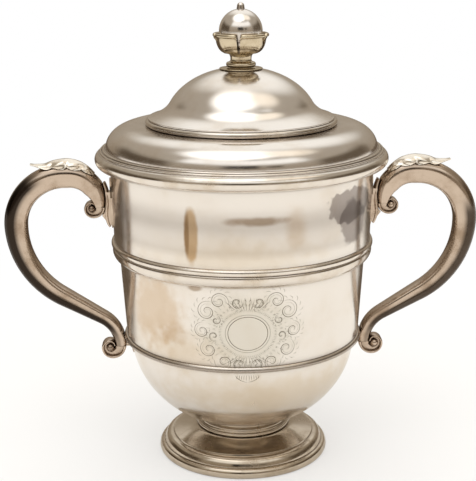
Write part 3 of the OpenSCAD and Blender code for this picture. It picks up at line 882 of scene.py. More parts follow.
@dataclass
class CupSizes:
    """Sizes of the whole object, in millimetres, and the heights that follow from them."""

    mouth_r: float = 86.0
    mouth_flare: float = 1.4
    girdle_step: float = 3.3
    drum_taper: float = 3.4
    hip_step: float = 2.9
    cup_wall: float = 1.1
    bowl_lift: float = 25.5
    bowl_depth: float = 58.5
    bowl_turn: float = 54.0
    lower_drum_h: float = 64.5
    upper_drum_h: float = 51.5
    wire_w: float = 4.4
    wire_out: float = 1.9
    band_h: float = 8.2
    band_out: float = 1.3
    hair: float = 0.03

    def __post_init__(self) -> None:
        """Works out the radii and heights that depend on the sizes."""
        self.drum_r = self.mouth_r - self.mouth_flare
        self.waist_r = self.drum_r - self.girdle_step
        self.hip_r = self.waist_r - self.drum_taper
        self.bowl_r = self.hip_r - self.hip_step
        self.bowl_b = 1.094 * self.bowl_depth
        self.hip_z = self.bowl_lift + self.bowl_depth
        self.girdle_z = self.hip_z + self.lower_drum_h
        self.mouth_z = self.girdle_z + self.upper_drum_h
        self.band_z = self.girdle_z - self.wire_w / 2 - self.band_h
        self.bowl_side = self.bowl_corner(0)
        drop = self.bowl_side[1] - self.bowl_lift
        self.bowl_lean = self.bowl_side[0] - drop * math.tan(math.radians(self.bowl_turn)) * self.bowl_r / self.bowl_b

    def bowl_corner(self, k: float) -> Point:
        """Where the bowl's oval turns into its flatter bottom, inset by k."""
        w = math.radians(self.bowl_turn)
        return (self.bowl_r - k) * math.cos(w), self.hip_z - (self.bowl_b - k) * math.sin(w)

    def bowl_face_r(self, z: float) -> float:
        """Radius of the bowl's outer face at height z, on the oval."""
        return self.bowl_r * math.sqrt(1 - ((self.hip_z - z) / self.bowl_b) ** 2)

    def bowl_face_z(self, r: float) -> float:
        """Height of the bowl's outer face at radius r, on the flatter bottom."""
        lean = self.bowl_side[0] - self.bowl_lean
        rest = self.bowl_side[0] - 2 * self.bowl_lean
        u = (lean - math.sqrt(lean * lean - rest * (self.bowl_side[0] - r))) / rest
        return self.bowl_lift + (self.bowl_side[1] - self.bowl_lift) * (1 - u) ** 2

    def drum_face_r(self, z: float) -> float:
        """Radius of the upper drum's outer face at height z."""
        start = self.girdle_z - self.wire_w / 2
        return mix(self.drum_r, self.mouth_r, (z - start) / (self.mouth_z - start))

    def hip_face_r(self, z: float) -> float:
        """Radius of the lower drum's outer face at height z."""
        foot = self.hip_z + self.hip_step / 2
        return mix(self.hip_r, self.waist_r, (z - foot) / (self.band_z + 1 - foot))


@dataclass
class CupBody:
    """The raised cup with its girdle mouldings and lip wire."""

    sizes: CupSizes
    lip_h: float = 1.6
    lip_out: float = 1.0

    def curve(self, k: float) -> Outline:
        """Section of the cup from its middle to the mouth, inset by k."""
        s = self.sizes
        floor = s.bowl_lift + k
        bottom = bend((0, floor), (s.bowl_lean, floor), s.bowl_corner(k), 24)
        return bottom + oval(0, s.hip_z, s.bowl_r - k, s.bowl_b - k, 1.3 - s.bowl_turn, 0, 40) + [
            (s.hip_r - k, s.hip_z + s.hip_step / 2),
            (s.waist_r - k, s.band_z + 1),
            (s.drum_r - k, s.girdle_z - s.wire_w / 2),
            (s.mouth_r - k, s.mouth_z),
        ]

    def build(self, shop: Workshop) -> None:
        """Builds and dresses the cup's pieces."""
        s = self.sizes
        wall = lathe("cup_body_sheet", self.curve(0) + self.curve(s.cup_wall)[::-1], closed=False, corner=0.3)
        shop.place(wall, Body.CUP, "cup_silver", shop.raised, "cup_body")
        half = self.lip_h / 2
        bead = oval(s.mouth_r + s.hair, s.mouth_z - half, self.lip_out, half, -90, 90, 10)
        lip = lathe("lip_strengthening_wire", bead)
        shop.place(lip, Body.CUP, "cup_silver", shop.moulding, "lip_wire")
        reed = lathe(
            "girdle_wire",
            oval(s.drum_face_r(s.girdle_z + s.wire_w / 2) + s.hair, s.girdle_z, s.wire_out, s.wire_w / 2, -90, 90, 24),
        )
        shop.place(reed, Body.CUP, "cup_silver", shop.moulding, "upper_girdle_reed")
        self._band(shop)
        self._hip(shop)

    def _band(self, shop: Workshop) -> None:
        """The ovolo band under the girdle wire."""
        s = self.sizes
        top = s.girdle_z - s.wire_w / 2
        out = s.drum_r + s.band_out
        low, wide = (s.waist_r + 0.9, s.band_z), (out, s.band_z + s.band_h * 0.72)
        band = lathe(
            "girdle_ovolo_band",
            [(s.waist_r + s.hair, s.band_z), low]
            + bend(low, (out, s.band_z + s.band_h * 0.32), wide, 20)[1:]
            + bend(wide, (out, top - 0.4), (s.drum_r + 0.5, top - 0.1), 8)[1:]
            + [(s.drum_r + s.hair, top - 0.1), (s.waist_r + s.hair, s.band_z + 1)],
        )
        shop.place(band, Body.CUP, "cup_silver", shop.moulding, "upper_girdle_band")

    def _hip(self, shop: Workshop) -> None:
        """The wire where the drum meets the bowl."""
        s = self.sizes
        top = s.hip_z + s.wire_w / 2
        face = s.hip_face_r(top)
        wire = lathe(
            "hip_wire",
            [(s.bowl_r + s.hair, s.hip_z - s.wire_w / 2)]
            + oval(s.bowl_r + 0.8, s.hip_z, s.hip_step + s.wire_out - 0.8, s.wire_w / 2, -90, 0, 14)
            + oval(face, s.hip_z, s.hip_r + s.wire_out - face, s.wire_w / 2, 6, 84, 14)
            + [(face + s.hair, top), (s.hip_r + s.hair, s.hip_z + s.hip_step / 2), (s.bowl_r + s.hair, s.hip_z)],
        )
        shop.place(wire, Body.CUP, "cup_silver", shop.moulding, "lower_girdle_wire")


@dataclass
class Foot:
    """The spreading foot, its collet and its fillet wires."""

    sizes: CupSizes
    foot_r: float = 57.5
    rim_h: float = 6.8
    step_r: float = 48.0
    step_z: float = 12.7
    wall: float = 1.2
    rim_in: float = 3.2
    rim_round: float = 2.2
    collet_r: float = 30.2
    collet_z: float = 18.1
    collet_wall: float = 2.0
    fillet_r: float = 1.4

    def curve(self, k: float) -> Outline:
        """Section of the foot's sheet from the base ring to the collet, inset by k."""
        step = self.step_z
        return (
            bend(
                (self.foot_r - self.rim_in - k, self.rim_h),
                (self.foot_r - 4.4 - k, step - 0.2 - k),
                (self.step_r + 1.2 - k / 2, step - 0.2 - k),
                20,
            )
            + [(self.step_r - k / 2, step - 0.2 - k), (self.step_r - 0.3 - k / 2, step + 0.8 - k)]
            + bend(
                (self.step_r - 0.3 - k / 2, step + 0.8 - k),
                (self.collet_r + self.fillet_r + 2 - k / 2, step + 3.4 - k),
                (self.collet_r + self.fillet_r + 0.6 - k / 3, self.collet_z - k),
                20,
            )[1:]
            + [(self.collet_r - self.collet_wall, self.collet_z - self.sizes.hair - k)]
        )

    def build(self, shop: Workshop) -> None:
        """Builds and dresses the foot's pieces."""
        s = self.sizes
        inner = self.collet_r - self.collet_wall
        middle = mix(inner, self.collet_r, 0.5)
        top = s.bowl_face_z(self.collet_r) - s.hair
        bead = 2 * self.fillet_r + 0.2
        collet = lathe(
            "foot_collet_band",
            [(inner, self.collet_z), (self.collet_r, self.collet_z)]
            + bend(
                (self.collet_r, self.collet_z + bead),
                (self.collet_r - 1.8, (self.collet_z + top) / 2),
                (self.collet_r, top - bead),
                16,
            )
            + [
                (self.collet_r, top),
                (middle, s.bowl_face_z(middle) - 2 * s.hair),
                (inner, s.bowl_face_z(inner) - s.hair),
            ],
        )
        shop.place(collet, Body.CUP, "cup_silver", shop.foot, "foot_collet")
        heights = {
            "collet_top_wire": s.bowl_face_z(self.collet_r) - self.fillet_r - s.hair,
            "collet_bottom_wire": self.collet_z + self.fillet_r + s.hair,
        }
        for node, z in heights.items():
            wire = lathe(node + "_reed", oval(self.collet_r + s.hair, z, self.fillet_r, self.fillet_r, -90, 90, 14))
            shop.place(wire, Body.CUP, "cup_silver", shop.foot, node)
        dome = lathe("foot_domed_sheet", self.curve(0) + self.curve(self.wall)[::-1], corner=0.2)
        shop.place(dome, Body.CUP, "cup_silver", shop.foot, "foot_dome")
        self._rim(shop)

    def _rim(self, shop: Workshop) -> None:
        """The base ring that the cup stands on."""
        wall = self.foot_r - self.rim_in - self.wall
        low, bead = 0.4 * self.rim_h, self.rim_round
        out = self.foot_r - bead
        rim = lathe(
            "foot_base_ring",
            [(wall - 1.6, 0), (out, 0)]
            + oval(out, low, bead, low - 0.1, -80, 0, 12)
            + oval(out, low, bead, self.rim_h - low - 0.2, 6, 84, 14)
            + [
                (self.foot_r - self.rim_in, self.rim_h - self.sizes.hair),
                (wall, self.rim_h - self.sizes.hair),
                (wall, 1.4),
                (wall - 1.6, 1.4),
            ],
        )
        shop.place(rim, Body.CUP, "cup_silver", shop.foot, "foot_rim")


# ---------------------------------------------------------------- handles


@dataclass(frozen=True)
class Leg:
    """One arc or straight of a handle's walk."""

    radius: float
    turn: float
    steps: int
    thick: float


@dataclass(frozen=True)
class Station:
    """A place on the handle's centreline."""

    x: float
    z: float
    heading: float
    thick: float

    @property
    def up(self) -> np.ndarray:
        """Direction across the handle, to the left of the heading."""
        w = math.radians(self.heading)
        return np.array([-math.sin(w), math.cos(w)])


def walk(legs: Sequence[Leg], start: Station, fine: int = 3) -> list[Station]:
    """Follows legs from a start.

    Args:
        legs: Arcs and straights in order. A turn of 0 makes the radius a length.
        start: Where the walk begins.
        fine: How many stations to make for each of a leg's steps.

    Returns:
        The stations after the start.
    """
    out: list[Station] = []
    x, z, heading, thick = start.x, start.z, start.heading, start.thick
    for leg in legs:
        count = leg.steps * fine
        w = math.radians(heading)
        for k in range(1, count + 1):
            u = k / count
            if leg.turn == 0:
                px, pz = x + leg.radius * u * math.cos(w), z + leg.radius * u * math.sin(w)
                now = heading
            else:
                r = math.copysign(leg.radius, leg.turn)
                now = heading + leg.turn * u
                v = math.radians(now)
                px = x - r * math.sin(w) + r * math.sin(v)
                pz = z + r * math.cos(w) - r * math.cos(v)
            out.append(Station(px, pz, now, mix(thick, leg.thick, u)))
        last = out[-1]
        x, z, heading, thick = last.x, last.z, last.heading, last.thick
    return out


def handle_w(thick: float) -> float:
    """Width of a handle across its plane where it is this thick."""
    return 7.2 + 0.45 * thick


@dataclass
class Handle:
    """One cast scroll handle with its volutes, leaf, spur and mounts."""

    sizes: CupSizes
    side: Side
    bow_t: float = 16.0
    arm_t: float = 9.0
    crown_out: float = 31.4
    crown_drop: float = 7.2
    turn_r: float = 33.0
    side_r: float = 56.5
    return_r: float = 22.5
    scroll_gap: float = 4.5
    plate_t: float = 1.1
    lower_plate_h: float = 12.0
    leaf_t: float = 1.2
    leaf_from: int = 18
    leaf_to: int = 15
    upper_roll: tuple[float, float, float] = (4.4, 3.5, 2.6)
    lower_roll: tuple[float, float, float] = (5.6, 4.4, 3.2)

    def __post_init__(self) -> None:
        """Fits the bow between its crown and the bowl."""
        s = self.sizes
        self.lower_z = s.hip_z - s.wire_w / 2 - self.lower_plate_h / 2 - 0.3
        crown = (s.drum_r + self.crown_out, s.mouth_z - self.crown_drop)
        self.scroll_t = self.arm_t - 0.8
        start = (s.bowl_face_r(self.lower_z) + self.scroll_gap + self.scroll_t / 2, self.lower_z)
        sweep, lean = math.radians(60), math.radians(30)
        reach = (
            crown[0] - start[0] - self.return_r * (1 - math.cos(sweep)),
            crown[1] - start[1] - self.return_r * math.sin(sweep),
        )
        slope = math.tan(lean)
        across = self.turn_r - self.side_r * (1 - math.cos(sweep))
        down = self.turn_r + self.side_r * math.sin(sweep)
        k = (reach[1] - reach[0] * slope) / (down + across * slope)
        arm = (reach[0] + across * k) / math.cos(lean)
        self.outer = walk(
            [
                Leg(self.turn_r * k, -90, 16, self.bow_t - 0.4),
                Leg(self.side_r * k, -60, 9, self.bow_t * 0.79),
                Leg(arm, 0, 3, mix(self.arm_t, self.bow_t, 0.06)),
                Leg(self.return_r, 60, 7, self.scroll_t),
            ],
            Station(*crown, 0, self.bow_t),
        )
        self.inner = walk(
            [Leg(2.5, 0, 1, self.bow_t), Leg(19.5, 55, 7, self.bow_t * 0.87), Leg(22, 35, 5, 7.4)],
            Station(*crown, 180, self.bow_t),
        )
        back = [Station(p.x, p.z, p.heading - 180, p.thick) for p in reversed(self.inner)]
        self.bow = [*back, Station(*crown, 0, self.bow_t), *self.outer]
        self.crown_at = len(back)

    @property
    def tag(self) -> str:
        """The side as it stands in node names."""
        return self.side.name.lower()

    @staticmethod
    def section(station: Station) -> np.ndarray:
        """Outline of the bow at a station: a crowned back, a crease, flat flanks and a soft belly.

        Args:
            station: Where on the bow.

        Returns:
            The points as across-by-width pairs.
        """
        a, b = station.thick / 2 - 0.12, handle_w(station.thick) / 2
        crease = 0.12 * a
        out: list[tuple[float, float]] = []
        for i in range(BACK + 1):
            w = math.radians(90 - 180 * i / BACK)
            rise = max(0.0, math.cos(w)) ** 0.86
            out.append((crease + (a - crease) * rise, b * math.sin(w)))
        out += [(crease - 0.5, -0.965 * b), (-0.25 * a, -0.95 * b)]
        for i in range(13):
            w = math.radians(-90 - 180 * i / 12)
            across = -0.5 * a + 0.5 * a * squared(math.cos(w), 0.8)
            out.append((across, 0.945 * b * squared(math.sin(w), 0.62)))
        out += [(-0.25 * a, 0.95 * b), (crease - 0.5, 0.965 * b)]
        return np.array(out)

    def rings(self, stations: Sequence[Station], shape: Callable[[Station, int], np.ndarray]) -> np.ndarray:
        """Places a section at each station, on this handle's side.

        Args:
            stations: Places along the sweep.
            shape: Gives the across-by-width outline of a station.

        Returns:
            Rings for a tube.
        """
        out = []
        for i, st in enumerate(stations):
            pts = shape(st, i)
            flat = np.array([st.x, st.z]) + pts[:, :1] * st.up
            out.append(np.stack([flat[:, 0], pts[:, 1], flat[:, 1]], axis=1))
        return mirrored(np.array(out), self.side)

    def build(self, shop: Workshop) -> None:
        """Builds and dresses the handle's pieces."""
        bow = tube(f"{self.tag}_bow_casting", self.rings(self.bow, lambda st, i: self.section(st)))
        # paints a dark reflection into the bow's colour along its back
        self._paint_dark_reflection(bow)
        shop.place(bow, Body.CUP, "handle_silver", shop.cast, f"{self.tag}_handle_bow")
        self._volute(shop, "upper", self.inner[-1], self.upper_roll)
        self._volute(shop, "lower", self.outer[-1], self.lower_roll)
        self._leaf(shop)
        self._spur(shop)
        for part in ("upper_plate", "lower_plate", "lower_stub"):
            shop.dress(f"{self.tag}_{part}", shop.cast)

    def _paint_dark_reflection(self, bow: bpy.types.Object) -> None:
        """Marks a painted dark reflection along the shoulders of the bow's back.

        Args:
            bow: The bow, made of equal rings along its stations.
        """
        width = len(self.section(self.bow[0]))
        crown, last = self.crown_at, len(self.bow) - 1
        values = np.zeros(len(bow.data.vertices), np.float32)
        begin, top = (0.10, 1.0) if self.side is Side.LEFT else (0.30, 0.9)
        for i in range(crown, last + 1):
            u = (i - crown) / (last - crown)
            along = top * smooth((u - begin) / 0.12) * (1 - 0.5 * smooth((u - 0.86) / 0.12))
            for j in range(BACK + 1):
                values[i * width + j] = along * mix(0.25, 1.0, smooth((abs(90 - 180 * j / BACK) - 12) / 14))
            for j, share in ((BACK + 1, 0.8), (BACK + 2, 0.1), (width - 2, 0.1), (width - 1, 0.8)):
                values[i * width + j] = along * share
        # painted dark reflection, stored per point for the shared shader group
        mark = bow.data.attributes.new("dark_reflection", "FLOAT", "POINT")
        mark.data.foreach_set("value", values)

    def _volute(self, shop: Workshop, place: str, start: Station, radii: tuple[float, float, float]) -> None:
        """A rolled scroll end: a raised strap round a sunk web, with a bead at its eye.

        Args:
            shop: The workshop.
            place: Which end of the handle.
            start: Station where the bow ends.
            radii: Radii of the roll's quarter turns.
        """
        t = start.thick
        first = Station(start.x, start.z - self.sizes.hair, start.heading, t)
        coil = [first] + walk(
            [
                Leg(radii[0], 90, 7, t * 0.8),
                Leg(radii[1], 90, 7, t * 0.66),
                Leg(radii[2], 90, 6, t * 0.5),
                Leg(radii[2] * 0.72, 80, 6, t * 0.36),
            ],
            first,
        )
        w = handle_w(t)
        count = len(coil)
        strap_t = 0.27 * t

        def ring(low: float, high: float, wide: float, belly: float, flank: float) -> np.ndarray:
            """Points round a squared oval from low to high across the strap."""
            turns = [TURN * k / 16 for k in range(16)]
            middle, half = (low + high) / 2, (high - low) / 2
            return np.array(
                [(middle + half * squared(math.cos(w), belly), wide * squared(math.sin(w), flank)) for w in turns]
            )

        def strap(st: Station, i: int) -> np.ndarray:
            """Outer strap of the roll, full width, thinning towards the eye."""
            outer = -st.thick / 2
            wide = w / 2 * mix(1.0, 0.86, smooth(i / count))
            return ring(outer, outer + strap_t * mix(1.0, 0.62, i / count), wide, 0.7, 0.45)

        def web(st: Station, i: int) -> np.ndarray:
            """Sunk flank inside the strap."""
            sunk = w / 2 * mix(0.97, 0.56, smooth(i / (0.3 * count)))
            high = st.thick / 2 * mix(1.0, 0.75, smooth(i / (0.5 * count)))
            return ring(-st.thick / 2 + 0.3, high, sunk, 0.8, 0.5)

        solid_end = int(count * 0.76)
        last = coil[solid_end]
        centre = np.array([last.x, last.z]) + radii[2] * last.up
        parts = [tube("strap", self.rings(coil, strap)), tube("web", self.rings(coil[:solid_end], web))]
        bead_r, eye_r = radii[1] * 0.8, radii[2] * 0.8
        parts.append(self._bead(centre, 0.0, (bead_r, w * 0.37, bead_r), (28, 16)))
        for end in (-1, 1):
            parts.append(self._bead(centre, end * (w * 0.5 - eye_r * 0.78), (eye_r, eye_r, eye_r), (24, 14)))
        volute = joined(f"{self.tag}_{place}_scroll", parts)
        shop.place(volute, Body.CUP, "handle_silver", shop.cast, f"{self.tag}_{place}_volute")

    def _bead(
        self, centre: np.ndarray, y: float, half: tuple[float, float, float], cuts: tuple[int, int]
    ) -> bpy.types.Object:
        """A rounded bead in a scroll's middle.

        Args:
            centre: Its place in the handle's plane.
            y: Its place across the plane.
            half: Its half sizes.
            cuts: Segments round it and from pole to pole.

        Returns:
            The bead, not yet linked to the scene.
        """
        ball = bmesh.new()
        bmesh.ops.create_uvsphere(ball, u_segments=cuts[0], v_segments=cuts[1], radius=1.0)
        for v in ball.verts:
            v.co = Vector((v.co.x * half[0] + centre[0], v.co.y * half[1] + y, v.co.z * half[2] + centre[1]))
            v.co.x *= self.side.value
            v.co *= MM
        bmesh.ops.recalc_face_normals(ball, faces=ball.faces)
        mesh = bpy.data.meshes.new("bead")
        ball.to_mesh(mesh)
        ball.free()
        return bpy.data.objects.new("bead", mesh)

    def _leaf(self, shop: Workshop) -> None:
        """The acanthus leaf over the crown, with a lifted tip, lobed edges and veins."""
        stations = self.bow[self.crown_at - self.leaf_from : self.crown_at + self.leaf_to + 1]
        rows, cols = 4 * (len(stations) - 1), 36
        top = np.zeros((rows + 1, cols + 1, 3))
        under = np.zeros_like(top)
        lobes = 4.0
        for i in range(rows + 1):
            u = i / rows
            f = u * (len(stations) - 1)
            a = stations[int(f)]
            b = stations[min(int(f) + 1, len(stations) - 1)]
            g = f - int(f)
            st = Station(*(mix(getattr(a, k), getattr(b, k), g) for k in ("x", "z", "heading", "thick")))
            lobe = abs(math.sin(math.pi * (lobes * u + 0.15)))
            half = 60 * math.sin(math.pi * mix(0.16, 0.955, u)) ** 0.6 * (0.80 + 0.20 * lobe)
            lift = 5.2 * max(0.0, (u - 0.8) / 0.2) ** 1.4
            deep = self.leaf_t * mix(1, 3.2, math.sin(math.pi * u))
            base = st.thick / 2 + self.sizes.hair + lift
            wide = handle_w(st.thick) / 2 + self.sizes.hair
            for j in range(cols + 1):
                v = 2 * j / cols - 1
                w = math.radians(half * v)
                vein = math.cos(TURN * (lobes * u - 0.9 * abs(v) + 0.1))
                fade = math.sin(math.pi * min(1.0, 0.06 + u * 0.98)) ** 0.5
                rib = 0.55 * vein * abs(v) ** 0.8 * fade + 0.4 * math.exp(-((v / 0.13) ** 2)) * fade
                full = deep * (1 - 0.6 * v * v)
                height = max(0.45, full - 0.95 + rib * min(1.0, full / 2))
                for grid, add in ((top, height), (under, 0.02)):
                    flat = np.array([st.x, st.z]) + st.up * (base + add) * squared(math.cos(w), 0.78)
                    grid[i, j] = (flat[0], (wide + add) * squared(math.sin(w), 0.78), flat[1])
        leaf = sheet_solid(f"{self.tag}_acanthus_leaf", mirrored(top, self.side), mirrored(under, self.side))
        shop.place(leaf, Body.CUP, "handle_silver", shop.chased, f"{self.tag}_thumb_leaf")

    def _spur(self, shop: Workshop) -> None:
        """Fluted ribs that fan down the spur between the upper plate and the scroll."""
        shop.dress(f"{self.tag}_upper_spur", shop.cast)
        s = self.sizes
        foot, roll_r = self.inner[-1], self.upper_roll[0]
        strokes = []
        tip = (s.drum_face_r(foot.z - 13) + self.plate_t + 0.9, foot.z - 13.2)
        for lane in range(4):
            y = (lane - 1.5) * 2.35
            stroke = []
            for i in range(29):
                u = i / 28
                if u < 0.5:
                    st = self.inner[int(mix(len(self.inner) * 0.62, len(self.inner) - 1, u * 2))]
                    edge = np.array([st.x, st.z]) - st.up * (st.thick / 2 + 0.9)
                else:
                    w = math.radians(mix(180, 232, (u - 0.5) * 2))
                    centre = np.array([foot.x + roll_r, foot.z])
                    edge = centre + (roll_r + foot.thick / 2 + 0.9) * np.array([math.cos(w), math.sin(w)])
                    edge = edge + (np.array(tip) - edge) * smooth((u - 0.5) * 2) ** 2
                fan = mix(0.75, 1.0, smooth(u * 1.4))
                swell = 0.35 + 0.75 * math.sin(math.pi * mix(0.12, 0.9, u))
                stroke.append(((self.side.value * edge[0], y * fan, edge[1]), swell))
            strokes.append(stroke)
        ribs = shop.wire.grow(
            f"{self.tag}_spur_flutes",
            curve_object("flutes", strokes),
            {"Radius": 1.25 * MM, "Sides": 12, "Material": shop.cast},
        )
        shop.place(ribs, Body.CUP, "handle_silver", shop.cast)


# ---------------------------------------------------------------- the cover


@dataclass
class Cover:
    """The lift-off cover: domed sheet, ridge, reeds, rim band and locating ring."""

    sizes: CupSizes
    rim_overhang: float = 9.8
    rim_h: float = 8.9
    rim_wall: float = 1.3
    wall: float = 1.0
    shoulder_out: float = 2.6
    shoulder_z: float = 11.0
    shoulder_h: float = 14.8
    shoulder_w: float = 17.2
    ridge_r: float = 62.4
    ridge_h: float = 4.7
    dome_r: float = 50.0
    dome_h: float = 36.4
    dome_turn: float = 68.0
    bezel_depth: float = 9.0
    bezel_gap: float = 0.6
    bezel_wall: float = 1.2
    seat_gap: float = 0.1
    reed_w: float = 4.4
    reed_fall: float = 2.2
    bore_r: float = 2.1

    def __post_init__(self) -> None:
        """Works out the cover's own heights, above the mouth."""
        s = self.sizes
        self.lift = s.mouth_z + self.seat_gap
        self.rim_r = s.mouth_r + self.rim_overhang
        self.bezel_r = s.mouth_r - s.cup_wall - self.bezel_gap
        self.shoulder_r = s.mouth_r + self.shoulder_out
        self.shelf_z = self.shoulder_z + self.shoulder_h
        self.crown_z = self.shelf_z + self.dome_h
        self.dome_b = self.dome_h - 0.6
        self.ridge_inner = self.ridge_r - 3

    def raised(self, outline: Outline) -> Outline:
        """The outline moved up onto the mouth."""
        return [(r, z + self.lift) for r, z in outline]

    def dome_face_z(self, r: float) -> float:
        """Height of the dome's outer face above the mouth at radius r."""
        return self.crown_z - self.dome_b + self.dome_b * math.sqrt(1 - (r / self.dome_r) ** 2)

    def curve(self, k: float) -> Outline:
        """Section of the cover's sheet from the crown to the rim, inset by k."""
        shelf, lip, wide = self.shelf_z, self.ridge_h - self.wall, self.shoulder_w
        dome = [
            (
                (self.dome_r - k) * math.sin(math.radians(w)),
                self.crown_z - self.dome_b + (self.dome_b - k) * math.cos(math.radians(w)),
            )
            for w in (self.dome_turn * i / 44 for i in range(1, 45))
        ]
        edge = (self.ridge_inner - k if k else self.ridge_r - 1.8, shelf + self.ridge_h - 0.4 * k)
        flare = bend(dome[-1], (self.dome_r + 0.3 - 0.65 * k, shelf + 7.6 - 0.86 * k), edge, 24)[1:]
        under = [] if k else [(self.ridge_r - 1.8, shelf + lip), (self.ridge_inner, shelf + lip)]
        return (
            [(self.bore_r, self.dome_face_z(self.bore_r) - k)]
            + dome
            + flare
            + under
            + [(self.ridge_inner - k, shelf - k)]
            + oval(self.shoulder_r - wide, self.shoulder_z, wide - k, self.shoulder_h - k, 90, 0, 40)
            + [(self.shoulder_r + self.reed_w, self.shoulder_z - self.reed_fall - k)]
        )

    def build(self, shop: Workshop) -> None:
        """Builds and dresses the cover's pieces."""
        hair = self.sizes.hair
        shell = lathe("cover_raised_sheet", self.raised(self.curve(0) + self.curve(self.wall)[::-1]), corner=0.3)
        shop.place(shell, Body.COVER, "cover_silver", shop.cover, "cover_shell")
        half = (self.ridge_h - self.wall) / 2 - hair
        ridge = lathe(
            "cover_half_round_reed",
            self.raised(
                [(self.ridge_inner + hair, self.shelf_z + hair)]
                + oval(self.ridge_r - 1.6, self.shelf_z + hair + half, 1.6, half, -90, 90, 24)
                + [(self.ridge_inner + hair, self.shelf_z + hair + 2 * half)]
            ),
        )
        shop.place(ridge, Body.COVER, "cover_silver", shop.moulding, "cover_ridge")
        self._reeds(shop)
        self._rim(shop)
        bezel = lathe(
            "cover_locating_ring",
            self.raised(
                [
                    (self.bezel_r - self.bezel_wall, -self.bezel_depth),
                    (self.bezel_r - 0.4, -self.bezel_depth),
                    (self.bezel_r, -self.bezel_depth + 0.8),
                    (self.bezel_r, self.rim_wall),
                    (self.bezel_r - self.bezel_wall, self.rim_wall),
                ]
            ),
        )
        shop.place(bezel, Body.COVER, "cover_silver", shop.moulding, "cover_bezel")

    def _reeds(self, shop: Workshop) -> None:
        """The two fine reeds between the shoulder and the rim band."""
        strokes = []
        turns = [TURN * k / 240 for k in range(240)]
        for u in (0.3, 0.7):
            r = self.shoulder_r + self.reed_w * u
            z = self.lift + self.shoulder_z - self.reed_fall * u + 0.1
            strokes.append([((r * math.cos(w), r * math.sin(w), z), 1.0) for w in turns])
        curves = curve_object("reeds", strokes)
        for spline in curves.data.splines:
            spline.use_cyclic_u = True
        reeds = shop.wire.grow(
            "cover_twin_reeds", curves, {"Radius": 0.82 * MM, "Sides": 12, "Material": shop.moulding}
        )
        shop.place(reeds, Body.COVER, "cover_silver", shop.moulding, "cover_reeds")

    def _rim(self, shop: Workshop) -> None:
        """The rounded band that overhangs the mouth."""
        hair = self.sizes.hair
        seam = self.shoulder_r + self.reed_w
        under = self.shoulder_z - self.reed_fall - self.wall
        thin, roll = self.rim_wall, 4.2
        roof = under - hair - thin
        rim = lathe(
            "cover_rim_band",
            self.raised(
                [(self.bezel_r + hair, 0)]
                + oval(self.rim_r - roll, self.rim_h / 2, roll, self.rim_h / 2, -90, 70, 36)
                + [(seam + hair, under - hair), (seam - 1.8, under - hair), (seam - 1.8, roof)]
                + oval(self.rim_r - roll, (roof + thin) / 2, roll - thin, (roof - thin) / 2, 90, -90, 20)
                + [(self.bezel_r + hair, self.rim_wall)]
            ),
        )
        shop.place(rim, Body.COVER, "cover_silver", shop.moulding, "cover_rim")


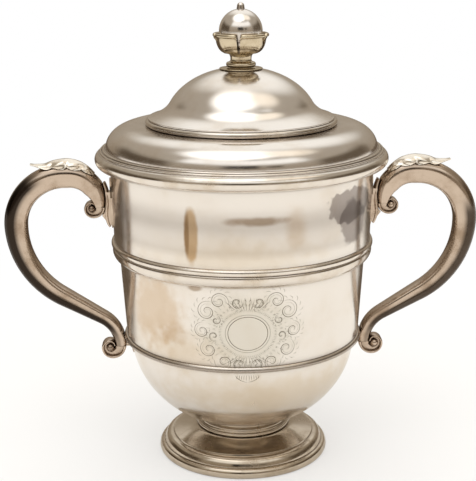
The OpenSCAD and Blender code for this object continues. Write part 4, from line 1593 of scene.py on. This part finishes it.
@dataclass
class Finial:
    """The finial: flange, neck, dish, petals, hollow ball and button."""

    cover: Cover
    flange_r: float = 14.0
    neck_r: float = 6.8
    neck_h: float = 8.5
    flange_top: float = 0.5
    ball_r: float = 14.0
    ball_wall: float = 1.2
    petal_count: int = 5
    petal_gap: float = 7.0
    pip_r: float = 2.6
    pip_h: float = 4.0

    def __post_init__(self) -> None:
        """Works out the finial's heights above the crown."""
        self.lift = self.cover.lift + self.cover.crown_z
        self.ball_z = self.neck_h + 0.5 + self.ball_r

    def raised(self, outline: Outline) -> Outline:
        """The outline moved up onto the dome's crown."""
        return [(r, z + self.lift) for r, z in outline]

    def fall(self, r: float) -> float:
        """Height of the dome's face against the crown at radius r."""
        return self.cover.dome_face_z(r) - self.cover.crown_z + self.cover.sizes.hair

    def turned(self, name: str, node: str, outline: Outline, shop: Workshop, closed: bool = True) -> None:
        """Turns and dresses one piece of the finial.

        Args:
            name: Piece name.
            node: Frame node it stands for.
            outline: Its section above the crown.
            shop: The workshop.
            closed: Whether the section is a closed loop.
        """
        piece = lathe(name, self.raised(outline), closed=closed, steps=128, corner=0.15)
        finish = shop.cover if "ball" in node or "pip" in node else shop.petal
        shop.place(piece, Body.COVER, "finial_silver", finish, node)

    def build(self, shop: Workshop) -> None:
        """Builds and dresses the finial's pieces."""
        hair, bore, n = self.cover.sizes.hair, self.cover.bore_r, self.neck_r
        edge = [self.flange_r * 0.957 * i / 12 for i in range(1, 13)]
        low = self.flange_top + hair
        self.turned(
            "finial_dome_flange",
            "finial_flange",
            [(bore, self.fall(bore))]
            + [(r, self.fall(r)) for r in edge if r > bore]
            + oval(self.flange_r - 0.6, self.fall(self.flange_r) + 0.6, 0.6, 0.5, -60, 90, 10)
            + bend(
                (self.flange_r - 1.6, self.fall(self.flange_r) + 1.2),
                (n + 3.2, self.flange_top - 0.5),
                (n + 2.9, self.flange_top),
                8,
            )
            + [(bore, self.flange_top)],
            shop,
        )
        self.turned(
            "finial_knopped_neck",
            "finial_neck",
            [(bore, low)]
            + oval(n + 1.7, low + 1.4, 1.1, 1.4, -90, 90, 18)
            + bend((n + 1.2, low + 3), (n, low + 3.4), (n, low + 4.6), 10)
            + bend((n, low + 5), (n, self.neck_h - 0.9), (n + 1.2, self.neck_h), 10)
            + [(bore, self.neck_h)],
            shop,
        )
        h, nest = self.neck_h, [9.4 * (1 - i / 16) for i in range(17)]
        self.turned(
            "finial_dish",
            "finial_cup",
            [(0, h + hair), (n + 1.3, h + hair), (11, h + 0.6), (11.6, h + 1), (11.1, h + 2.2)]
            + [(r, self.ball_z - math.sqrt((self.ball_r + hair) ** 2 - r * r)) for r in nest],
            shop,
            closed=False,
        )
        ball, z = self.ball_r, self.ball_z
        skin = ball - self.ball_wall
        halves = {
            "lower": oval(0, z, ball, ball, -90, 0, 30) + oval(0, z, skin, skin, 0, -90, 30),
            "upper": oval(0, z, skin, skin, 90, 0, 30) + oval(0, z, ball, ball, 0, 90, 30),
        }
        for label, path in halves.items():
            self.turned(f"finial_{label}_hemisphere", f"finial_ball_{label}", path, shop, closed=False)
        low = z + math.sqrt(ball**2 - self.pip_r**2) + hair
        top = z + ball + self.pip_h
        r = self.pip_r
        self.turned(
            "finial_button",
            "finial_pip",
            [(0, z + ball + hair), (r * 0.5, z + ball - 0.03), (r, low), (r * 0.98, low + 0.6)]
            + oval(0, top - r * 0.9, r * 0.9, r * 0.9, 0, 90, 14),
            shop,
            closed=False,
        )
        self._petals(shop)
        for node in ("finial_stud", "finial_washer", "finial_nut"):
            shop.dress(node, shop.fixing)

    def _petals(self, shop: Workshop) -> None:
        """One scooped petal with a rolled lip, repeated round the ball."""
        step = TURN / self.petal_count
        half = (step - math.radians(self.petal_gap)) / 2
        z = self.lift + self.neck_h
        spine = bend((11.75, 0.95), (15.6, 3.0), (16.4, 10.2), 16)
        roll = oval(16.9, 12.1, 1.25, 1.25, -100, 150, 14)
        back = bend((15.1, 11.2), (14.2, 4.6), (11.25, 2.3), 16)
        section = spine + roll + back
        cols = 28
        rings = np.zeros((cols + 1, len(section), 3))
        for j in range(cols + 1):
            v = 2 * j / cols - 1
            for i, (r, h) in enumerate(section):
                tall = smooth((h - 1) / 11)
                narrow = 1 - 0.015 * tall
                rounding = 1.3 * tall * max(0.0, abs(v) - 0.84) ** 2 / 0.0256
                pinch = 0.55 * abs(v) ** 6 * (0.3 + 0.7 * tall)
                w = half * v * narrow
                radius = r - pinch
                rings[j, i] = (radius * math.cos(w), radius * math.sin(w), z + h - rounding)
        petal = tube("petal", rings)
        petals = shop.ring.grow(
            "finial_petal_ring",
            petal,
            {"Count": self.petal_count, "First Angle": math.radians(-98) + step / 2, "Material": shop.petal},
        )
        shop.place(petals, Body.COVER, "finial_silver", shop.petal, "finial_petals")


# ---------------------------------------------------------------- engraving


@dataclass
class Cartouche:
    """A generic engraved frame of scrolls and leaves round an empty oval, cut into the lower drum."""

    sizes: CupSizes
    middle_z: float = 108.5
    oval_w: float = 24.5
    oval_h: float = 22.0
    wrap_r: float = 79.0
    cut: float = 0.46

    def on_drum(self, x: float, z: float) -> tuple[float, float, float]:
        """A point of the drawing laid on the cup's outer face.

        Args:
            x: Distance round the drum from the middle of the front.
            z: Height above the middle of the drawing.

        Returns:
            The point, just under the silver's surface.
        """
        s = self.sizes
        height = self.middle_z + z
        r = s.hip_face_r(height) if height > s.hip_z else s.bowl_face_r(height)
        w = x / self.wrap_r - math.pi / 2
        depth = r - 0.06
        return depth * math.cos(w), depth * math.sin(w), height

    def stroke(self, points: Sequence[Point], width: float = 1.0) -> list[tuple[tuple[float, float, float], float]]:
        """One graver's cut, thin at both ends."""
        n = len(points) - 1
        return [
            (self.on_drum(x, z), width * (0.35 + 0.65 * math.sin(math.pi * min(1, max(0, i / n))) ** 0.6))
            for i, (x, z) in enumerate(points)
        ]

    @staticmethod
    def curl(x: float, z: float, size: float, start: float, turns: float, steps: int = 30) -> Outline:
        """A spiral that winds in to (x, z)."""
        out = []
        for i in range(steps + 1):
            u = i / steps
            w = math.radians(start) + TURN * turns * u
            r = size * (1 - 0.86 * u)
            out.append((x + r * math.cos(w), z + r * math.sin(w)))
        return out

    def half(self) -> list[tuple[Outline, float]]:
        """Cuts of the drawing's right half.

        Returns:
            Outlines with their widths.
        """
        cuts: list[tuple[Outline, float]] = []
        scrolls = (
            (17.5, 21.0, 6.2, 200, -1.45),
            (25.0, 14.0, 7.0, 120, -1.5),
            (28.5, 1.0, 5.6, 90, -1.4),
            (24.5, -11.0, 6.0, 60, -1.4),
            (15.0, -19.0, 6.2, 10, -1.45),
            (6.5, 20.5, 4.4, 160, 1.3),
            (6.2, -20.8, 4.2, 200, -1.3),
            (21.0, -2.0, 3.6, 250, 1.2),
            (19.5, 8.5, 3.4, 100, 1.2),
        )
        for cx, cz, size, start, turns in scrolls:
            cuts.append((self.curl(cx, cz, size, start, turns), 1.15))
            cuts.append((self.curl(cx, cz, size * 0.78, start + 14, turns * 0.9, 24), 0.6))
            for i in range(7):
                w = math.radians(start + i * 26 * (1 if turns > 0 else -1))
                inner, outer = size * 1.06, size * (1.34 + 0.12 * (i % 2))
                leaf = ((inner, w), (outer, w + 0.1), (outer * 0.98, w + 0.32))
                cuts.append((bend(*((cx + r * math.cos(v), cz + r * math.sin(v)) for r, v in leaf), 5), 0.7))

        def ray(angles: Callable[[float], float], start: float, end: float, wide: float, tall: float) -> Outline:
            """A short cut outwards from the oval, at the angle that each reach gives."""
            reach = (start, (start + end) / 2, end)
            return [(wide * r * math.cos(angles(r)), tall * r * math.sin(angles(r))) for r in reach]

        half_w, half_h = self.oval_w / 2, self.oval_h / 2
        for i in range(46):
            w, lean = math.radians(mix(-88, 88, i / 45)), 0.05 * (1 if i % 2 else -1)
            for start, end in ((1.28, 1.52), (1.6, 1.84), (1.92, 2.08 + 0.14 * math.cos(9 * w))):
                cuts.append((ray(lambda r, w=w, lean=lean: w + lean * r, start, end, half_w, half_h), 0.62))
        for i in range(14):
            w = math.radians(mix(-62, 62, i / 13))
            cuts.append((ray(lambda r, w=w: w, 1.05, 1.17, half_w * 1.28, half_h * 1.22), 0.6))
        for i in range(6):
            x0 = 1.2 + 2.0 * i
            cuts.append((bend((x0 * 0.6, 15.2), (x0, 18.5), (x0 * 1.25, 23.5 - 0.4 * i), 6), 0.75))
            cuts.append((bend((x0 * 0.6, -15.6), (x0, -18.5), (x0 * 1.3, -22.0 + 0.4 * i), 6), 0.75))
        for i in range(5):
            x0 = 0.8 + 1.5 * i
            cuts.append((bend((x0, -28.6), (x0 + 0.4, -30.6), (x0 * 1.1, -32.6 + 0.35 * i), 5), 0.8))
        cuts.append((bend((0, -33.6), (5.5, -33.2), (8.4, -28.8), 10), 0.9))
        return cuts

    def build(self, shop: Workshop) -> None:
        """Engraves the drawing as fine closed cuts laid in the sheet."""
        strokes = []
        for outline, width in self.half():
            for sign in (-1, 1):
                strokes.append(self.stroke([(sign * x, z) for x, z in outline], width))
        ovals = []
        for scale, width in ((1.0, 1.1), (1.13, 0.7)):
            ovals.append(
                [
                    (self.on_drum(self.oval_w / 2 * scale * math.cos(w), self.oval_h / 2 * scale * math.sin(w)), width)
                    for w in (TURN * k / 72 for k in range(72))
                ]
            )
        curves = curve_object("cuts", strokes + ovals)
        for spline in curves.data.splines[-len(ovals) :]:
            spline.use_cyclic_u = True
        cuts = shop.wire.grow(
            "engraved_cartouche", curves, {"Radius": self.cut * MM / 2, "Sides": 4, "Material": shop.graven}
        )
        shop.place(cuts, Body.CUP, "cup_silver", shop.graven)


# ---------------------------------------------------------------- studio


@dataclass(frozen=True)
class Patch:
    """A soft-edged patch of the room that the silver mirrors.

    Angles are in degrees: the bearing runs from the viewer's side towards the right handle, and
    the rise is the height above the floor's horizon.
    """

    bearing: float
    rise: float
    half_w: float
    half_h: float
    soft: float
    colour: tuple[float, float, float]


@dataclass(frozen=True)
class Window:
    """A round soft window high in the room, for the silver to mirror. Angles are in degrees."""

    bearing: float
    rise: float
    radius: float
    soft: float
    colour: tuple[float, float, float]

    @property
    def way(self) -> tuple[float, float, float]:
        """Direction from the cup to the window."""
        b, e = math.radians(self.bearing), math.radians(self.rise)
        return math.sin(b) * math.cos(e), -math.cos(b) * math.cos(e), math.sin(e)


@dataclass
class Studio:
    """Pale floor, soft light and the camera."""

    stand: tuple[float, float, float] = (-32.5, -776.4, 352.0)
    aim: tuple[float, float, float] = (-2.65, 0.1, 146.8)
    roll: float = -0.371
    lens: float = 91.0
    floor_w: float = 8000.0
    floor_colour: tuple[float, float, float] = (0.87, 0.86, 0.845)
    dark_left: float = 120.0
    dark_right: float = 130.0
    dark_tone: tuple[float, float, float] = (0.13, 0.095, 0.065)
    room: float = 1.0
    ceiling: float = 62.0
    patches: tuple[Patch, ...] = (
        Patch(0, 38, 58, 11, 7, (1.2, 1.19, 1.16)),
        Patch(9, 52, 7, 2.6, 1.2, (0.03, 0.028, 0.025)),
        Patch(-98, 10, 32, 14, 8, (0.10, 0.075, 0.05)),
        Patch(98, 10, 32, 14, 8, (0.13, 0.10, 0.07)),
        Patch(-3, 15, 15, 8, 2.5, (0.02, 0.018, 0.015)),
        Patch(25, 14, 6, 4.5, 2, (0.05, 0.035, 0.025)),
    )
    windows: tuple[Window, ...] = (
        Window(-28, 76, 23, 10, (2.0, 2.0, 1.97)),
        Window(78, 66, 13, 7, (1.25, 1.15, 1.0)),
        Window(172, 52, 26, 12, (1.1, 1.08, 1.03)),
    )

    def build(self) -> None:
        """Sets up everything that isn't the object."""
        self._floor()
        self._world()
        self._lights()
        self._camera()

    def _camera(self) -> None:
        """The camera at the viewing place."""
        data = bpy.data.cameras.new("view")
        data.sensor_fit = "HORIZONTAL"
        data.sensor_width = 36.0
        data.lens = self.lens
        data.clip_end = 50
        camera = bpy.data.objects.new("view", data)
        bpy.context.scene.collection.objects.link(camera)
        place, target = Vector(self.stand) * MM, Vector(self.aim) * MM
        turn = (target - place).to_track_quat("-Z", "Y").to_matrix()
        roll = Matrix.Rotation(math.radians(self.roll), 3, "Z")
        camera.matrix_world = Matrix.Translation(place) @ (turn @ roll).to_4x4()
        bpy.context.scene.camera = camera

    def _floor(self) -> None:
        """A plain pale floor. It fades to white far off, so that no horizon shows."""
        h = self.floor_w / 2
        floor = make_object("floor", np.array([(-h, -h, 0), (h, -h, 0), (h, h, 0), (-h, h, 0)]), [(0, 1, 2, 3)])
        material = bpy.data.materials.new("pale_floor")
        material.use_nodes = True
        board = Board(material.node_tree)
        shader = board.tree.nodes["Principled BSDF"]
        shader.inputs["Base Color"].default_value = (*self.floor_colour, 1)
        shader.inputs["Roughness"].default_value = 0.9
        shader.inputs["Specular IOR Level"].default_value = 0.1
        path, place = board.node("ShaderNodeLightPath").outputs, board.place()
        far = board.node("ShaderNodeVectorMath", {0: place}, operation="LENGTH").outputs["Value"]
        limits = {"Value": far, "From Min": 0.1, "From Max": 0.6, "To Min": 0.5}
        fade = board.node("ShaderNodeMapRange", limits, interpolation_type="SMOOTHSTEP").outputs["Result"]
        seen = board.calc("MULTIPLY", path["Is Camera Ray"], fade)
        glow = board.node("ShaderNodeEmission").outputs["Emission"]
        white = board.node("ShaderNodeMixShader", {"Fac": seen, 1: shader.outputs["BSDF"], 2: glow})
        axes = board.split(place)
        bearing = board.calc("ARCTAN2", axes["X"], board.calc("MULTIPLY", axes["Y"], -1.0))
        left, right = (
            board.step(board.calc("MULTIPLY", bearing, sign), math.radians(start - 6), math.radians(start + 6))
            for sign, start in ((-1, self.dark_left), (1, self.dark_right))
        )
        beyond = board.node("ShaderNodeMapRange", {"Value": far, "From Min": 0.2, "From Max": 0.3}).outputs["Result"]
        dim = board.calc("MULTIPLY", board.calc("MAXIMUM", left, right), beyond)
        dusk = board.node("ShaderNodeEmission", {"Color": (*self.dark_tone, 1)}).outputs["Emission"]
        mirrored_dim = board.calc("MULTIPLY", path["Is Glossy Ray"], dim)
        look = board.node("ShaderNodeMixShader", {"Fac": mirrored_dim, 1: white.outputs["Shader"], 2: dusk})
        board.feed(board.tree.nodes["Material Output"].inputs["Surface"], look.outputs["Shader"])
        floor.data.materials.append(material)

    def _world(self) -> None:
        """The room that the silver mirrors: soft windows, darker walls and a plain white backdrop."""
        world = bpy.data.worlds.new("studio")
        bpy.context.scene.world = world
        world.use_nodes = True
        board = Board(world.node_tree)
        board.tree.nodes.clear()
        way = board.node("ShaderNodeTexCoord").outputs["Generated"]
        axes = board.split(way)
        rise = board.calc("ARCSINE", axes["Z"])
        bearing = board.calc("ARCTAN2", axes["X"], board.calc("MULTIPLY", axes["Y"], -1.0))
        ramp = board.node("ShaderNodeValToRGB", {"Fac": board.calc("MULTIPLY_ADD", rise, 1 / math.pi, 0.5)})
        stops = ramp.color_ramp.elements
        stops[0].position, stops[0].color = 0.0, (0.34, 0.28, 0.21, 1)
        stops[1].position, stops[1].color = 1.0, (0.46, 0.41, 0.345, 1)
        for position, colour in ((0.5, (0.34, 0.28, 0.21, 1)), (0.64, (0.44, 0.39, 0.32, 1))):
            stops.new(position).color = colour
        tint = ramp.outputs["Color"]
        for patch in self.patches:
            masks = []
            for angle, middle, half in ((bearing, patch.bearing, patch.half_w), (rise, patch.rise, patch.half_h)):
                gap = board.calc("ABSOLUTE", board.calc("SUBTRACT", angle, math.radians(middle)))
                inner = math.radians(max(0.0, half - patch.soft))
                masks.append(board.step(gap, math.radians(half + patch.soft), inner))
            tint = board.colours(board.calc("MULTIPLY", *masks), tint, (*patch.colour, 1))
        for window in self.windows:
            facing = board.node("ShaderNodeVectorMath", {0: way, 1: window.way}, operation="DOT_PRODUCT")
            outer, inner = (math.cos(math.radians(window.radius + k * window.soft)) for k in (1, -1))
            tint = board.colours(board.step(facing.outputs["Value"], outer, inner), tint, (*window.colour, 1))
        room = board.node("ShaderNodeBackground", {"Color": tint, "Strength": self.room}).outputs["Background"]
        plain = board.node("ShaderNodeBackground", {"Color": (1, 1, 1, 1)}).outputs["Background"]
        camera = board.node("ShaderNodeLightPath").outputs["Is Camera Ray"]
        either = board.node("ShaderNodeMixShader", {"Fac": camera, 1: room, 2: plain}).outputs["Shader"]
        board.node("ShaderNodeOutputWorld", {"Surface": either})

    def _lights(self) -> None:
        """A very wide soft light overhead that reaches the floor but doesn't mirror in the silver."""
        data = bpy.data.lights.new("ceiling", "AREA")
        data.size = 5.2
        data.energy = self.ceiling
        data.color = (1.0, 0.985, 0.955)
        light = bpy.data.objects.new("ceiling", data)
        light.location = (0, -0.2, 2.6)
        light.visible_camera = False
        light.visible_glossy = False
        bpy.context.scene.collection.objects.link(light)


def main() -> None:
    """Builds the whole scene around the frame."""
    logging.basicConfig(level=logging.INFO, format="%(name)s %(message)s")
    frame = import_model()
    scene = bpy.context.scene
    scene.view_settings.view_transform = "Standard"
    shop = Workshop(frame)
    sizes = CupSizes()
    CupBody(sizes).build(shop)
    Foot(sizes).build(shop)
    for side in Side:
        Handle(sizes, side).build(shop)
    cover = Cover(sizes)
    cover.build(shop)
    Finial(cover).build(shop)
    Cartouche(sizes).build(shop)
    shop.mark_creases()
    Studio().build()


if __name__ == "__main__":
    main()
